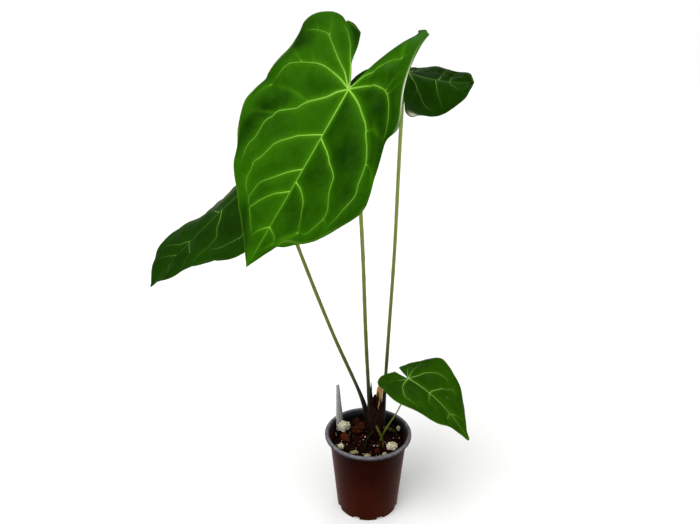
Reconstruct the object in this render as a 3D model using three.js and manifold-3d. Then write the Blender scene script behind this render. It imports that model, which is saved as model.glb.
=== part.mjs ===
// A potted anthurium magnificum: four heart-shaped, pale-veined leaves on long round petioles, grown
// from one short stem in a thin tapered pot of coarse bark mix.
// Millimetres, +Z up. The origin is the middle of the pot's underside.
import * as THREE from "three";
import { mergeVertices } from "three/addons/utils/BufferGeometryUtils.js";
import Module from "manifold-3d";

const wasm = await Module();
wasm.setup();

// Pot, driving dimensions
const RIM_RADIUS = 52.5;
const POT_HEIGHT = 102;
const BODY_TOP_RADIUS = 46.5; // of the tapered wall, just under the lip
const BASE_RADIUS = 37.5;
const WALL = 1.4;
const LIP_WIDTH = 3.6; // across the flat top of the rim
const LIP_HEIGHT = 6;
const LIP_EDGE = 1.2; // the rim's bevelled edge
const POT_SIDES = 48;
const NOTCH_COUNT = 8; // drainage notches round the bottom edge
const NOTCH_WIDTH = 8;
const NOTCH_HEIGHT = 4.5;
const NOTCH_DEPTH = 5;

// Potting mix
const MIX_TOP = 90; // its middle height, 12 below the rim
const MIX_ROLL = 1.6; // height of the slow humps on its surface
const MOUND = 3; // how much higher it lies round the stem
const MOUND_REACH = 20;
const MIX_EDGE_FALL = 4; // how much lower it lies at the wall
const CHIP_COUNT = 30; // bark chips half sunk in its surface
const GAP = 0.35; // between pieces that touch

// Stem
const STEM_X = 9;
const STEM_FOOT = 66;
const STEM_TOP = 152;
const STEM_RADIUS = 9.5;
const HUSK_COUNT = 13; // dry remains of old leaf sheaths
const HUSK_WIDTH = 10;
const HUSK_SHORTEST = 22;
const HUSK_LONGEST = 36;
const HUSK_FIRST = 12; // the lowest one's height over the mix
const HUSK_STEP = 3.6; // from one to the next, up the stem

// Blades
const BLADE = 0.9; // thickness between the veins
const MIDRIB_DEPTH = 2.4; // how far the midrib stands out below, at the petiole
const RIB_DEPTH = 1.3; // the same for a side vein
const RIB_SPAN = 0.012; // half a rib's width, as a share of the way round the margin
const QUILT = 0.02; // rise of the blade between two veins, as a share of the leaf's half width
const OUTLINE_ANGLES = [152, 134, 116, 98, 80, 63, 47, 33, 20, 11, 5]; // degrees from the tip

// A leaf's outline is given by radii from the petiole's joint, at the angle of its inner corner (sinus)
// and then at OUTLINE_ANGLES; its length is the radius at the tip. Right and left are seen from
// above, tip away. Heading, pitch and roll turn the leaf; fold tilts a half up from the midrib and curl
// bends it further, each at the lobe, the middle and the tip. Droop bends the tip down and the lobes by
// their own angles. Veins from the joint are shares of the way round to the last such vein (fan),
// and side veins are shares of the midrib.
const LEAVES = [
  {
    name: "1",
    finish: "bladeBright",
    joint: [-23, -60, 509],
    heading: -153,
    pitch: -56,
    roll: -14,
    length: 186,
    lobe: 75,
    halfWidth: 80,
    droop: -1,
    twist: 6,
    wave: { height: 1.6, count: 6, phase: 40 },
    columns: 6,
    right: {
      sinus: 154,
      radii: [57, 61, 84, 87, 80, 87, 105, 116, 130, 146, 157, 172],
      fan: 0.66,
      fanVeins: [0.17, 0.31, 0.56, 1],
      sideVeins: [0.24, 0.44, 0.59, 0.77],
      sinusBow: 0,
      veinBow: 0.28,
      fold: [19, 15, 6],
      curl: [10, 5, 6],
      lobeDroop: 8,
    },
    left: {
      sinus: 160,
      radii: [80, 80, 85, 80, 77, 87, 88, 120, 137, 147, 150, 168],
      fan: 0.66,
      fanVeins: [0.29, 0.55, 1],
      sideVeins: [0.26, 0.5, 0.77],
      sinusBow: 0,
      veinBow: 0.3,
      fold: [2, 9, 5],
      curl: [35, -16, -5],
      lobeDroop: 32,
    },
  },
  {
    name: "2",
    finish: "bladeDark",
    joint: [-114, -5, 418],
    heading: -164,
    pitch: -37,
    roll: 2,
    length: 164,
    lobe: 70,
    halfWidth: 75,
    droop: 11,
    twist: 4,
    wave: { height: 1.4, count: 5, phase: 200 },
    columns: 6,
    right: {
      sinus: 168,
      radii: [63, 77, 79, 78, 78, 80, 87, 95, 106, 144, 150, 157],
      fan: 0.61,
      fanVeins: [0.2, 0.42, 0.7, 1],
      sideVeins: [0.3, 0.56, 0.78],
      sinusBow: 0.1,
      veinBow: 0.28,
      fold: [-1, -3, 19],
      curl: [-3, -11, -9],
      lobeDroop: 10,
    },
    left: {
      sinus: 166,
      radii: [64, 75, 77, 76, 76, 81, 92, 102, 108, 130, 145, 154],
      fan: 0.64,
      fanVeins: [0.2, 0.42, 0.7, 1],
      sideVeins: [0.3, 0.56, 0.76],
      sinusBow: 0.1,
      veinBow: 0.3,
      fold: [0, -7, 6],
      curl: [0, -29, -3],
      lobeDroop: 10,
    },
  },
  {
    name: "3",
    finish: "bladeDark",
    joint: [36, 13, 519],
    heading: 23,
    pitch: -18,
    roll: 7,
    length: 80,
    lobe: 36,
    halfWidth: 39,
    droop: -19,
    twist: -27,
    wave: { height: 0.8, count: 4, phase: 90 },
    columns: 4,
    right: {
      sinus: 167,
      radii: [33, 40, 41, 42, 46, 46, 48, 53, 58, 65, 70, 75],
      fan: 0.6,
      fanVeins: [0.33, 0.66, 1],
      sideVeins: [0.28, 0.55, 0.78],
      sinusBow: 0.1,
      veinBow: 0.28,
      fold: [-9, -18, -2],
      curl: [-33, -78, -12],
      lobeDroop: 7,
    },
    left: {
      sinus: 168,
      radii: [40, 56, 48, 42, 41, 42, 47, 53, 59, 65, 76, 78],
      fan: 0.62,
      fanVeins: [0.33, 0.66, 1],
      sideVeins: [0.28, 0.55, 0.78],
      sinusBow: 0.1,
      veinBow: 0.28,
      fold: [0, 11, 8],
      curl: [-14, -27, -8],
      lobeDroop: 19,
    },
  },
  {
    name: "4",
    finish: "bladeMid",
    joint: [45, -16, 184],
    heading: -50,
    pitch: 1,
    roll: 0,
    length: 99,
    lobe: 40,
    halfWidth: 42,
    droop: 41,
    twist: 10,
    wave: { height: 0.8, count: 4, phase: 300 },
    columns: 4,
    right: {
      sinus: 174,
      radii: [20, 30, 35, 36, 37, 43, 51, 58, 64, 74, 80, 89],
      fan: 0.63,
      fanVeins: [0.43, 1],
      sideVeins: [0.35, 0.6, 0.8],
      sinusBow: 0,
      veinBow: 0.28,
      fold: [-6, 8, 1],
      curl: [6, -10, -1],
      lobeDroop: 13,
    },
    left: {
      sinus: 153,
      radii: [31, 39, 41, 44, 45, 48, 49, 52, 60, 71, 80, 89],
      fan: 0.6,
      fanVeins: [0.3, 0.5, 1],
      sideVeins: [0.27, 0.62, 0.8],
      sinusBow: 0.04,
      veinBow: 0.28,
      fold: [-4, 14, -8],
      curl: [6, 16, -6],
      lobeDroop: 24,
    },
  },
];

// Petioles: points from the foot in the stem to just under the knee, and radii at the foot, at the
// middle and at the knee, the thicker stretch that carries the blade.
const KNEE = 16; // its length
const KNEE_SHIFT = 2; // the knee's middle lies this far past the joint, below the midrib
const SHEATHED = 60; // the foot's stretch over which a petiole thins
const PETIOLES = [
  {
    name: "1",
    route: [[4, -6, 112], [1, -2, 146], [-4, -2, 233], [-8, -10, 330], [-12, -20, 400], [-16, -34, 465]],
    radii: [2.8, 1.7, 2.3],
  },
  {
    name: "2",
    route: [[1, 4, 110], [-6.6, 1, 144], [-42, -2, 236], [-78, 2, 336], [-94, 10, 382]],
    radii: [3.2, 1.7, 2.2],
  },
  {
    name: "3",
    route: [[16.5, 3, 104], [18, 4, 129], [22.5, 6, 229], [27, 8, 330], [29.5, 11, 426], [31, 13, 474]],
    radii: [3.1, 1.6, 1.9],
  },
  {
    name: "4",
    route: [[13, -9, 92], [20, -8, 109], [33.6, -9, 135], [42, -12, 158]],
    radii: [1.9, 1.2, 1.4],
  },
];

// Sheath of the newest leaf
const SHEATH_RADIUS = 3.9;
const SHEATH_ROUTE = [[11, -5, 122], [12, -3, 140], [14, 1, 168]];

// Roots that leave the stem's foot above the mix, and the label
const ROOT_RADIUS = 1.6;
const ROOTS = [
  [[9, -9, 117], [13, -14, 110], [17, -17, 100], [18, -18, 82]],
  [[6, -9, 108], [-1, -15, 103], [-4, -20, 95], [-5, -22, 80]],
  [[17, -3, 110], [27, -2, 106], [34, 3, 97], [36, 4, 80]],
];
const LABEL = {
  x: -34.5, // where it leaves the mix
  y: 22,
  foot: 62,
  shoulder: 26, // its point's height
  waist: 46, // the height from which it tapers to its top
  top: 151,
  footWidth: 9,
  topWidth: 4,
  thickness: 0.9,
  turn: 30,
  lean: -5,
};

// Pale pumice lumps: place and size across, deep and high
const LUMPS = [
  { at: [-29.5, 13.5, 100], size: [15, 12, 14] },
  { at: [27.5, -20, 95], size: [14, 12, 11] },
  { at: [-33, -17.5, 93], size: [8, 7, 7] },
  { at: [38, 17, 94], size: [5, 6, 8] },
  { at: [-16, -28, 92], size: [13, 7, 5] },
  { at: [-2, -33, 91], size: [10, 6, 5] },
  { at: [19, -32, 92], size: [8, 6, 5] },
];

// Large bark pieces that lie on the mix: place, size and turn about Z and X
const BARKS = [
  { at: [-28, -2, 94], size: [13, 10, 4], turn: 25, tilt: 12 },
  { at: [-10, 13, 96], size: [19, 12, 4], turn: 115, tilt: -24 },
  { at: [-12, 30, 93], size: [16, 8, 4], turn: 15, tilt: 8 },
];

// A seeded generator, so that the same plant grows each time
function seeded(seed) {
  let state = seed;
  return () => {
    state = (state * 1664525 + 1013904223) % 4294967296;
    return state / 4294967296;
  };
}

const radians = THREE.MathUtils.degToRad;
const smooth = (x) => THREE.MathUtils.smoothstep(x, 0, 1);
const sinc = (x) => (Math.abs(x) < 1e-6 ? 1 : Math.sin(x) / x);

function closedGeometry(positions) {
  const loose = new THREE.BufferGeometry();
  loose.setAttribute("position", new THREE.Float32BufferAttribute(positions, 3));
  const merged = mergeVertices(loose, 1e-3);
  const index = merged.index.array;
  const kept = [];
  for (let i = 0; i < index.length; i += 3) {
    const [a, b, c] = [index[i], index[i + 1], index[i + 2]];
    if (a !== b && b !== c && c !== a) kept.push(a, b, c);
  }
  merged.setIndex(kept);
  return merged;
}

function solidOf(geometry) {
  const bare = geometry.index ? geometry.toNonIndexed() : geometry.clone();
  bare.deleteAttribute("normal");
  bare.deleteAttribute("uv");
  const merged = closedGeometry(bare.attributes.position.array);
  const mesh = new wasm.Mesh({
    numProp: 3,
    vertProperties: new Float32Array(merged.attributes.position.array),
    triVerts: new Uint32Array(merged.index.array),
  });
  return new wasm.Manifold(mesh);
}

function geometryOf(solid) {
  const mesh = solid.getMesh();
  const geometry = new THREE.BufferGeometry();
  geometry.setAttribute("position", new THREE.BufferAttribute(mesh.vertProperties, 3));
  geometry.setIndex(new THREE.BufferAttribute(mesh.triVerts, 1));
  return geometry;
}

// The largest body of a solid: scraps that a cut leaves loose are dropped
function mainBody(solid) {
  return solid.decompose().reduce((best, body) => (body.volume() > best.volume() ? body : best));
}

// Blade formula

function outline(leaf, side) {
  const angles = [leaf[side].sinus, ...OUTLINE_ANGLES, 0];
  const radii = [...leaf[side].radii, leaf.length];
  const points = angles.map((angle, i) => {
    const turn = radians(angle);
    return new THREE.Vector2(radii[i] * Math.sin(turn), radii[i] * Math.cos(turn));
  });
  return new THREE.SplineCurve(points);
}

// Flat place of a point: a runs round the margin from the inner corner (0) to the tip (1), and b runs out
// from the joint or the midrib (0) to the margin (1), along a vein's bow.
function flatPoint(leaf, side, curve, a, b) {
  const half = leaf[side];
  const along = THREE.MathUtils.clamp((a - half.fan) / (1 - half.fan), 0, 1);
  const start = new THREE.Vector2(0, leaf.length * along);
  if (a >= 1) return start;
  const end = curve.getPointAt(a);
  const bow = THREE.MathUtils.lerp(half.sinusBow, half.veinBow, smooth(a / (0.3 * half.fan)));
  const span = end.clone().sub(start);
  const middle = start.clone().addScaledVector(span, 0.5);
  middle.add(new THREE.Vector2(span.y, -span.x).multiplyScalar(bow));
  const point = start.multiplyScalar((1 - b) ** 2);
  point.addScaledVector(middle, 2 * b * (1 - b)).addScaledVector(end, b * b);
  point.x = Math.max(point.x, b > 0 ? 0.4 * b : 0);
  return point;
}

// A value given at the lobe, the middle and the tip, at the height y on the flat leaf
function stationed(leaf, values, y) {
  const middle = 0.3 * leaf.length;
  const [lobe, mid, tip] = values;
  if (y < middle) return lobe + (mid - lobe) * smooth((y + leaf.lobe) / (middle + leaf.lobe));
  return mid + (tip - mid) * smooth((y - middle) / (leaf.length - middle));
}

// The flat point x out to one side and y towards the tip, lifted, then folded, curled, twisted and drooped
function bent(leaf, side, x, y, lift) {
  const half = leaf[side];
  const sign = side === "right" ? 1 : -1;
  const fold = radians(stationed(leaf, half.fold, y));
  const curl = (radians(stationed(leaf, half.curl, y)) * x) / leaf.halfWidth / 2;
  const across = sign * x * Math.cos(fold + curl) * sinc(curl);
  const up = x * Math.sin(fold + curl) * sinc(curl) + lift;
  const twist = (radians(leaf.twist) * y) / leaf.length;
  const X = across * Math.cos(twist) - up * Math.sin(twist);
  const Z = across * Math.sin(twist) + up * Math.cos(twist);
  const droop = y > 0 ? (-radians(leaf.droop) * y) / leaf.length : (radians(half.lobeDroop) * -y) / leaf.lobe;
  const reach = y * sinc(droop / 2);
  return new THREE.Vector3(
    X,
    reach * Math.cos(droop / 2) - Z * Math.sin(droop),
    reach * Math.sin(droop / 2) + Z * Math.cos(droop),
  );
}

function leafMatrix(leaf) {
  const [h, p, r] = [leaf.heading, leaf.pitch, leaf.roll].map(radians);
  const tip = new THREE.Vector3(Math.cos(h) * Math.cos(p), Math.sin(h) * Math.cos(p), Math.sin(p));
  const level = new THREE.Vector3(Math.sin(h), -Math.cos(h), 0);
  const upright = level.clone().cross(tip);
  const side = level.clone().multiplyScalar(Math.cos(r)).addScaledVector(upright, -Math.sin(r));
  const up = level.clone().multiplyScalar(Math.sin(r)).addScaledVector(upright, Math.cos(r));
  return new THREE.Matrix4().makeBasis(side, tip, up).setPosition(...leaf.joint);
}

// The upper face's direction in the leaf's own frame; on the midrib, the mean of both halves
function faceNormal(leaf, side, x, y) {
  const sides = x < 0.05 ? ["right", "left"] : [side];
  const sum = new THREE.Vector3();
  for (const each of sides) {
    const step = 0.5;
    const out = bent(leaf, each, x + step, y, 0).sub(bent(leaf, each, x, y, 0));
    const on = bent(leaf, each, x, y + step, 0).sub(bent(leaf, each, x, y - step, 0));
    const normal = each === "right" ? out.cross(on) : on.cross(out);
    sum.add(normal.normalize());
  }
  return sum.normalize();
}

function veinsOf(half) {
  const fan = half.fanVeins.map((share) => share * half.fan);
  const sides = half.sideVeins.map((share) => half.fan + share * (1 - half.fan));
  return [...fan, ...sides];
}

// How much of a rib there is at a: 1 on a vein, 0 past half a rib's width from it
function ribShare(half, a) {
  const nearest = Math.min(...veinsOf(half).map((vein) => Math.abs(a - vein)));
  return Math.max(0, 1 - nearest / RIB_SPAN);
}

// The rise of the blade between two veins, from 0 on a vein to 1 midway
function quilt(half, a) {
  const veins = [0, ...veinsOf(half), 1];
  const next = veins.findIndex((vein) => vein > a);
  if (next < 1) return 0;
  return Math.sin((Math.PI * (a - veins[next - 1])) / (veins[next] - veins[next - 1]));
}

// Rows across a half: on each vein, at both feet of its rib, and midway between veins
function rowsOf(half) {
  const veins = [0, ...veinsOf(half), 1];
  const rows = [0];
  for (let i = 1; i < veins.length; i += 1) {
    const [low, high] = [veins[i - 1], veins[i]];
    if (low > 0) rows.push(low + RIB_SPAN);
    rows.push((low + high) / 2);
    if (high < 1) rows.push(high - RIB_SPAN);
    rows.push(high);
  }
  return rows;
}

// Shares of the midrib where rows start. Both halves use the same ones, so that they share its points.
function midribRows(leaf) {
  const shares = [];
  for (const side of ["right", "left"]) {
    const { fan } = leaf[side];
    for (const a of rowsOf(leaf[side])) if (a > fan + 1e-6) shares.push((a - fan) / (1 - fan));
  }
  shares.sort((a, b) => a - b);
  const spaced = shares.filter((share, i) => i === 0 || share - shares[i - 1] > 0.008);
  return [...spaced.filter((share) => share < 0.985), 1];
}

// A closed blade: an upper and an under face split into triangles alike, and the edge between them.
// Extra thickens it evenly, for the room that a piece under it keeps.
function bladeGeometry(leaf, extra = 0) {
  const matrix = leafMatrix(leaf);
  const positions = [];
  const quad = (p, q, r, s) => positions.push(...p, ...q, ...r, ...p, ...r, ...s);
  const shared = midribRows(leaf);
  for (const side of ["right", "left"]) {
    const half = leaf[side];
    const curve = outline(leaf, side);
    const fanRows = rowsOf(half).filter((a) => a <= half.fan + 1e-6);
    const rows = [...fanRows, ...shared.map((share) => half.fan + share * (1 - half.fan))];
    const faces = rows.map((a) => {
      const along = THREE.MathUtils.clamp((a - half.fan) / (1 - half.fan), 0, 1);
      const line = [];
      for (let column = 0; column <= leaf.columns; column += 1) {
        const b = column / leaf.columns;
        const flat = flatPoint(leaf, side, curve, a, b);
        const wave = Math.sin(2 * Math.PI * leaf.wave.count * a + radians(leaf.wave.phase));
        const ease = a >= 1 ? 0 : 1;
        const rise = QUILT * leaf.halfWidth * quilt(half, a) * 4 * b * (1 - b);
        const margin = leaf.wave.height * b ** 3 * wave * Math.min(1, 8 * a, 8 * (1 - a));
        const lift = ease * (margin + rise);
        const normal = faceNormal(leaf, side, flat.x, flat.y);
        const scale = leaf.length / LEAVES[0].length;
        const midrib = MIDRIB_DEPTH * (1 - 0.8 * along) * Math.max(0, 1 - 6 * b);
        const rib = ease * RIB_DEPTH * ribShare(half, a) * (1 - 0.8 * b) * Math.min(1, 6 * b);
        const place = bent(leaf, side, flat.x, flat.y, lift);
        const upper = place.clone().addScaledVector(normal, (BLADE + extra) / 2);
        const depth = (BLADE + extra) / 2 + scale * (midrib + rib);
        const under = place.clone().addScaledVector(normal, -depth);
        line.push([upper.applyMatrix4(matrix).toArray(), under.applyMatrix4(matrix).toArray()]);
      }
      return line;
    });
    const outward = side === "right" ? quad : (p, q, r, s) => quad(s, r, q, p);
    const last = leaf.columns;
    for (let i = 1; i < rows.length; i += 1) {
      const [back, front] = [faces[i - 1], faces[i]];
      for (let j = 0; j < last; j += 1) {
        outward(back[j][0], back[j + 1][0], front[j + 1][0], front[j][0]);
        outward(front[j][1], front[j + 1][1], back[j + 1][1], back[j][1]);
      }
      outward(back[last][0], back[last][1], front[last][1], front[last][0]);
    }
    for (let j = 0; j < last; j += 1) {
      outward(faces[0][j][0], faces[0][j][1], faces[0][j + 1][1], faces[0][j + 1][0]);
    }
  }
  return closedGeometry(positions);
}

// Tubes with a changing radius

function tubeGeometry(points, radiusAt, steps, sides) {
  const curve = new THREE.CatmullRomCurve3(points.map((p) => new THREE.Vector3(...p)));
  const frames = curve.computeFrenetFrames(steps, false);
  const ring = (i) => {
    const centre = curve.getPointAt(i / steps);
    const radius = radiusAt(i / steps, curve.getLength());
    return Array.from({ length: sides }, (_, k) => {
      const turn = (2 * Math.PI * k) / sides;
      const out = frames.normals[i].clone().multiplyScalar(Math.cos(turn));
      out.addScaledVector(frames.binormals[i], Math.sin(turn));
      return centre.clone().addScaledVector(out, radius).toArray();
    });
  };
  const positions = [];
  for (let i = 0; i < steps; i += 1) {
    const [low, high] = [ring(i), ring(i + 1)];
    for (let k = 0; k < sides; k += 1) {
      const n = (k + 1) % sides;
      positions.push(...low[k], ...low[n], ...high[n], ...low[k], ...high[n], ...high[k]);
    }
  }
  const foot = curve.getPointAt(0).toArray();
  const head = curve.getPointAt(1).toArray();
  const [first, final] = [ring(0), ring(steps)];
  for (let k = 0; k < sides; k += 1) {
    const n = (k + 1) % sides;
    positions.push(...foot, ...first[n], ...first[k], ...head, ...final[k], ...final[n]);
  }
  return closedGeometry(positions);
}

// A petiole runs up its route and meets the underside of its blade squarely, through the knee.
function petioleGeometry(petiole, leaf, extra = 0) {
  const up = new THREE.Vector3().setFromMatrixColumn(leafMatrix(leaf), 2);
  const tip = new THREE.Vector3().setFromMatrixColumn(leafMatrix(leaf), 1);
  const joint = new THREE.Vector3(...leaf.joint).addScaledVector(tip, KNEE_SHIFT);
  const under = joint.clone().addScaledVector(up, -KNEE);
  const head = joint.clone().addScaledVector(up, -BLADE / 2 - 4 * GAP);
  const route = [...petiole.route, under.toArray(), head.toArray()];
  const [foot, middle, knee] = petiole.radii;
  const radiusAt = (t, length) => {
    const sheath = foot + (middle - foot) * smooth((t * length) / SHEATHED);
    const swell = smooth((t * length - (length - 2 * KNEE)) / KNEE);
    return sheath + (knee - middle) * swell + extra;
  };
  return tubeGeometry(route, radiusAt, leaf.length > 120 ? 22 : 16, 7);
}

// Pot

function potSolid() {
  const underLip = POT_HEIGHT - LIP_HEIGHT;
  const profile = [
    [0, 0],
    [BASE_RADIUS, 0],
    [BODY_TOP_RADIUS, underLip - 1],
    [RIM_RADIUS - LIP_EDGE, underLip],
    [RIM_RADIUS, underLip + LIP_EDGE],
    [RIM_RADIUS, POT_HEIGHT - LIP_EDGE],
    [RIM_RADIUS - LIP_EDGE, POT_HEIGHT],
    [RIM_RADIUS - LIP_WIDTH, POT_HEIGHT],
    [RIM_RADIUS - LIP_WIDTH - LIP_EDGE, POT_HEIGHT - LIP_EDGE],
    [BODY_TOP_RADIUS - WALL, underLip - LIP_EDGE],
    [BASE_RADIUS - WALL, WALL],
    [0, WALL],
  ];
  const points = profile.map(([r, z]) => new THREE.Vector2(r, z));
  const lathe = new THREE.LatheGeometry(points, POT_SIDES).rotateX(Math.PI / 2);
  let pot = solidOf(lathe);
  for (let i = 0; i < NOTCH_COUNT; i += 1) {
    const notch = new THREE.BoxGeometry(2 * NOTCH_DEPTH, NOTCH_WIDTH, 2 * NOTCH_HEIGHT);
    notch.translate(BASE_RADIUS, 0, 0).rotateZ((2 * Math.PI * (i + 0.5)) / NOTCH_COUNT);
    pot = pot.subtract(solidOf(notch));
  }
  return pot;
}

// Potting mix

// Height of the mix over MIX_TOP: slow humps, and a mound round the stem
function mixRelief(x, y) {
  const humps = MIX_ROLL * Math.sin(x / 8 + 1) * Math.cos(y / 9);
  const away = Math.hypot(x - STEM_X, y) / MOUND_REACH;
  return humps + MOUND * Math.exp(-(away ** 2));
}

function wallRadius(z) {
  const share = z / (POT_HEIGHT - LIP_HEIGHT);
  return THREE.MathUtils.lerp(BASE_RADIUS, BODY_TOP_RADIUS, share) - WALL - 2 * GAP;
}

function mixSolid() {
  const floor = WALL + GAP;
  const rings = [1, 0.8, 0.6, 0.4, 0.2];
  const edge = wallRadius(MIX_TOP - MIX_EDGE_FALL);
  const top = [...rings, 0].map((share) => [edge * share, MIX_TOP]);
  const profile = [[0, floor], [wallRadius(floor), floor], ...top];
  const points = profile.map(([r, z]) => new THREE.Vector2(r, z));
  const lathe = new THREE.LatheGeometry(points, 32).rotateX(Math.PI / 2);
  const position = lathe.attributes.position;
  for (let i = 0; i < position.count; i += 1) {
    if (position.getZ(i) < MIX_TOP - 1) continue;
    const [x, y] = [position.getX(i), position.getY(i)];
    const fall = Math.hypot(x, y) > 0.98 * edge ? MIX_EDGE_FALL : 0;
    position.setZ(i, MIX_TOP + mixRelief(x, y) - fall);
  }
  let mix = solidOf(lathe);
  const random = seeded(7);
  for (let i = 0; i < CHIP_COUNT; i += 1) {
    const length = 7 + 8 * random();
    const chip = new THREE.BoxGeometry(length, 5 + 4 * random(), 2.5 + 2.5 * random());
    chip.rotateX(0.7 * (random() - 0.5)).rotateY(0.9 * (random() - 0.5)).rotateZ(2 * Math.PI * random());
    const [reach, turn] = [(edge - 9) * Math.sqrt(random()), 2 * Math.PI * random()];
    const [x, y] = [reach * Math.cos(turn), reach * Math.sin(turn)];
    chip.translate(x, y, MIX_TOP + mixRelief(x, y) + 0.4);
    mix = mix.add(solidOf(chip));
  }
  return mix;
}

function lumpGeometry({ at, size }, seed, extra = 0) {
  const random = seeded(seed);
  const loose = new THREE.IcosahedronGeometry(0.5, 1).deleteAttribute("normal").deleteAttribute("uv");
  const ball = mergeVertices(loose);
  const position = ball.attributes.position;
  for (let i = 0; i < position.count; i += 1) {
    const swell = 0.86 + 0.28 * random();
    const place = new THREE.Vector3().fromBufferAttribute(position, i).multiplyScalar(swell);
    place.set(place.x * (size[0] + extra), place.y * (size[1] + extra), place.z * (size[2] + extra));
    position.setXYZ(i, place.x, place.y, place.z);
  }
  return ball.translate(...at);
}

function settled(geometry, { at, turn, tilt }) {
  return geometry.rotateX(radians(tilt)).rotateZ(radians(turn)).translate(...at);
}

// A curved plate of bark, thicker in the middle
function barkGeometry(bark) {
  const [length, width, height] = bark.size;
  const w = width / 2;
  const arc = new THREE.Shape();
  arc.moveTo(-w, 0);
  arc.quadraticCurveTo(0, height * 0.9, w, 0);
  arc.lineTo(w * 0.92, height * 0.45);
  arc.quadraticCurveTo(0, height * 1.7, -w * 0.92, height * 0.45);
  arc.closePath();
  const plate = new THREE.ExtrudeGeometry(arc, { depth: length, bevelEnabled: false, curveSegments: 4 });
  return settled(plate.translate(0, 0, -length / 2).rotateX(Math.PI / 2), bark);
}

// The room that a bark plate lies in
function barkRoom(bark) {
  const [length, width, height] = bark.size;
  const room = new THREE.BoxGeometry(width + 2 * GAP, length + 2 * GAP, height + 2 * GAP);
  return settled(room.translate(0, 0, height / 2), bark);
}

// Stem and what stands beside it

function stemCore(extra = 0) {
  const grow = (r) => r + extra;
  const profile = [
    [0, STEM_FOOT - extra],
    [grow(0.7 * STEM_RADIUS), STEM_FOOT - extra],
    [grow(STEM_RADIUS), MIX_TOP],
    [grow(0.95 * STEM_RADIUS), MIX_TOP + 22],
    [grow(0.75 * STEM_RADIUS), MIX_TOP + 42],
    [grow(0.3 * STEM_RADIUS), STEM_TOP],
    [0, STEM_TOP + 2 + extra],
  ];
  const points = profile.map(([r, z]) => new THREE.Vector2(r, z));
  return new THREE.LatheGeometry(points, 14).rotateX(Math.PI / 2).translate(STEM_X, 0, 0);
}

// A husk is a narrow flattened cone that clasps the stem and stands a little off it at its point.
function huskGeometry(i, random) {
  const height = THREE.MathUtils.lerp(HUSK_SHORTEST, HUSK_LONGEST, random());
  const husk = new THREE.ConeGeometry(HUSK_WIDTH / 2, height, 6).rotateX(Math.PI / 2);
  husk.scale(0.4, 1, 1).translate(0, 0, height / 2 - 4);
  husk.rotateY(radians(4 + 12 * random()));
  const level = MIX_TOP + HUSK_FIRST + HUSK_STEP * i;
  const clasp = STEM_RADIUS * (level < MIX_TOP + 28 ? 0.86 : 0.6);
  return husk.translate(clasp, 0, level).rotateZ(2.4 * i + 0.4 * random()).translate(STEM_X, 0, 0);
}

function sheathGeometry(extra = 0) {
  const radiusAt = (t) => SHEATH_RADIUS * Math.sin(Math.PI * (0.22 + 0.75 * t)) ** 0.8 + extra;
  return tubeGeometry(SHEATH_ROUTE, radiusAt, 10, 8);
}

function rootGeometry(points, extra = 0) {
  return tubeGeometry(points, (t) => ROOT_RADIUS * (1 - 0.35 * t) + extra, 10, 7);
}

function labelGeometry(extra = 0) {
  const { x, y, foot, shoulder, waist, top, footWidth, topWidth, thickness, turn, lean } = LABEL;
  const tag = new THREE.Shape();
  const [w, n] = [footWidth / 2 + extra, topWidth / 2 + extra];
  tag.moveTo(-0.2 * w, foot - extra);
  tag.lineTo(0.2 * w, foot - extra);
  tag.lineTo(w, foot + shoulder);
  tag.lineTo(w, foot + waist);
  tag.lineTo(n, top - n);
  tag.absarc(0, top - n, n, 0, Math.PI, false);
  tag.lineTo(-w, foot + waist);
  tag.lineTo(-w, foot + shoulder);
  tag.closePath();
  const depth = thickness + 2 * extra;
  const plate = new THREE.ExtrudeGeometry(tag, { depth, bevelEnabled: false, curveSegments: 6 });
  plate.translate(0, -MIX_TOP, -depth / 2).rotateX(Math.PI / 2 + radians(lean));
  return plate.rotateZ(radians(turn)).translate(x, y, MIX_TOP);
}

// Assembly

const finish = (color, roughness) => new THREE.MeshStandardMaterial({ color, roughness, metalness: 0 });
const FINISH = {
  pot: () => finish("#45130a", 0.45),
  mix: () => finish("#24140c", 0.95),
  bark: () => finish("#5b3014", 0.9),
  pumice: () => finish("#c3bf93", 0.95),
  stem: () => finish("#23110a", 0.9),
  sheath: () => finish("#b77f3c", 0.6),
  root: () => finish("#6f6520", 0.7),
  petiole: () => finish("#5d6e33", 0.5),
  bladeBright: () => finish("#2f7000", 0.5),
  bladeDark: () => finish("#1b3a06", 0.5),
  bladeMid: () => finish("#275404", 0.5),
  label: () => finish("#c9cac6", 0.5),
};

const plant = new THREE.Group();

function addPiece(name, geometry, material) {
  const mesh = new THREE.Mesh(geometry, material);
  mesh.name = name;
  plant.add(mesh);
}

const cuts = []; // rooms cut into the mix and the stem for the pieces that stand in them

for (const petiole of PETIOLES) {
  const leaf = LEAVES.find((each) => each.name === petiole.name);
  const blade = bladeGeometry(leaf);
  addPiece(`blade_${leaf.name}`, blade, FINISH[leaf.finish]());
  const room = solidOf(bladeGeometry(leaf, 3 * GAP));
  const stalk = mainBody(solidOf(petioleGeometry(petiole, leaf)).subtract(room));
  addPiece(`petiole_${leaf.name}`, geometryOf(stalk), FINISH.petiole());
  cuts.push(solidOf(petioleGeometry(petiole, leaf, GAP)));
}

ROOTS.forEach((route, i) => {
  addPiece(`root_${i + 1}`, rootGeometry(route), FINISH.root());
  cuts.push(solidOf(rootGeometry(route, GAP)));
});

addPiece("new_leaf_sheath", sheathGeometry(), FINISH.sheath());
cuts.push(solidOf(sheathGeometry(GAP)));

let stem = solidOf(stemCore());
const huskRandom = seeded(21);
for (let i = 0; i < HUSK_COUNT; i += 1) stem = stem.add(solidOf(huskGeometry(i, huskRandom)));
for (const cut of cuts) stem = stem.subtract(cut);
addPiece("stem", geometryOf(mainBody(stem)), FINISH.stem());

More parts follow.
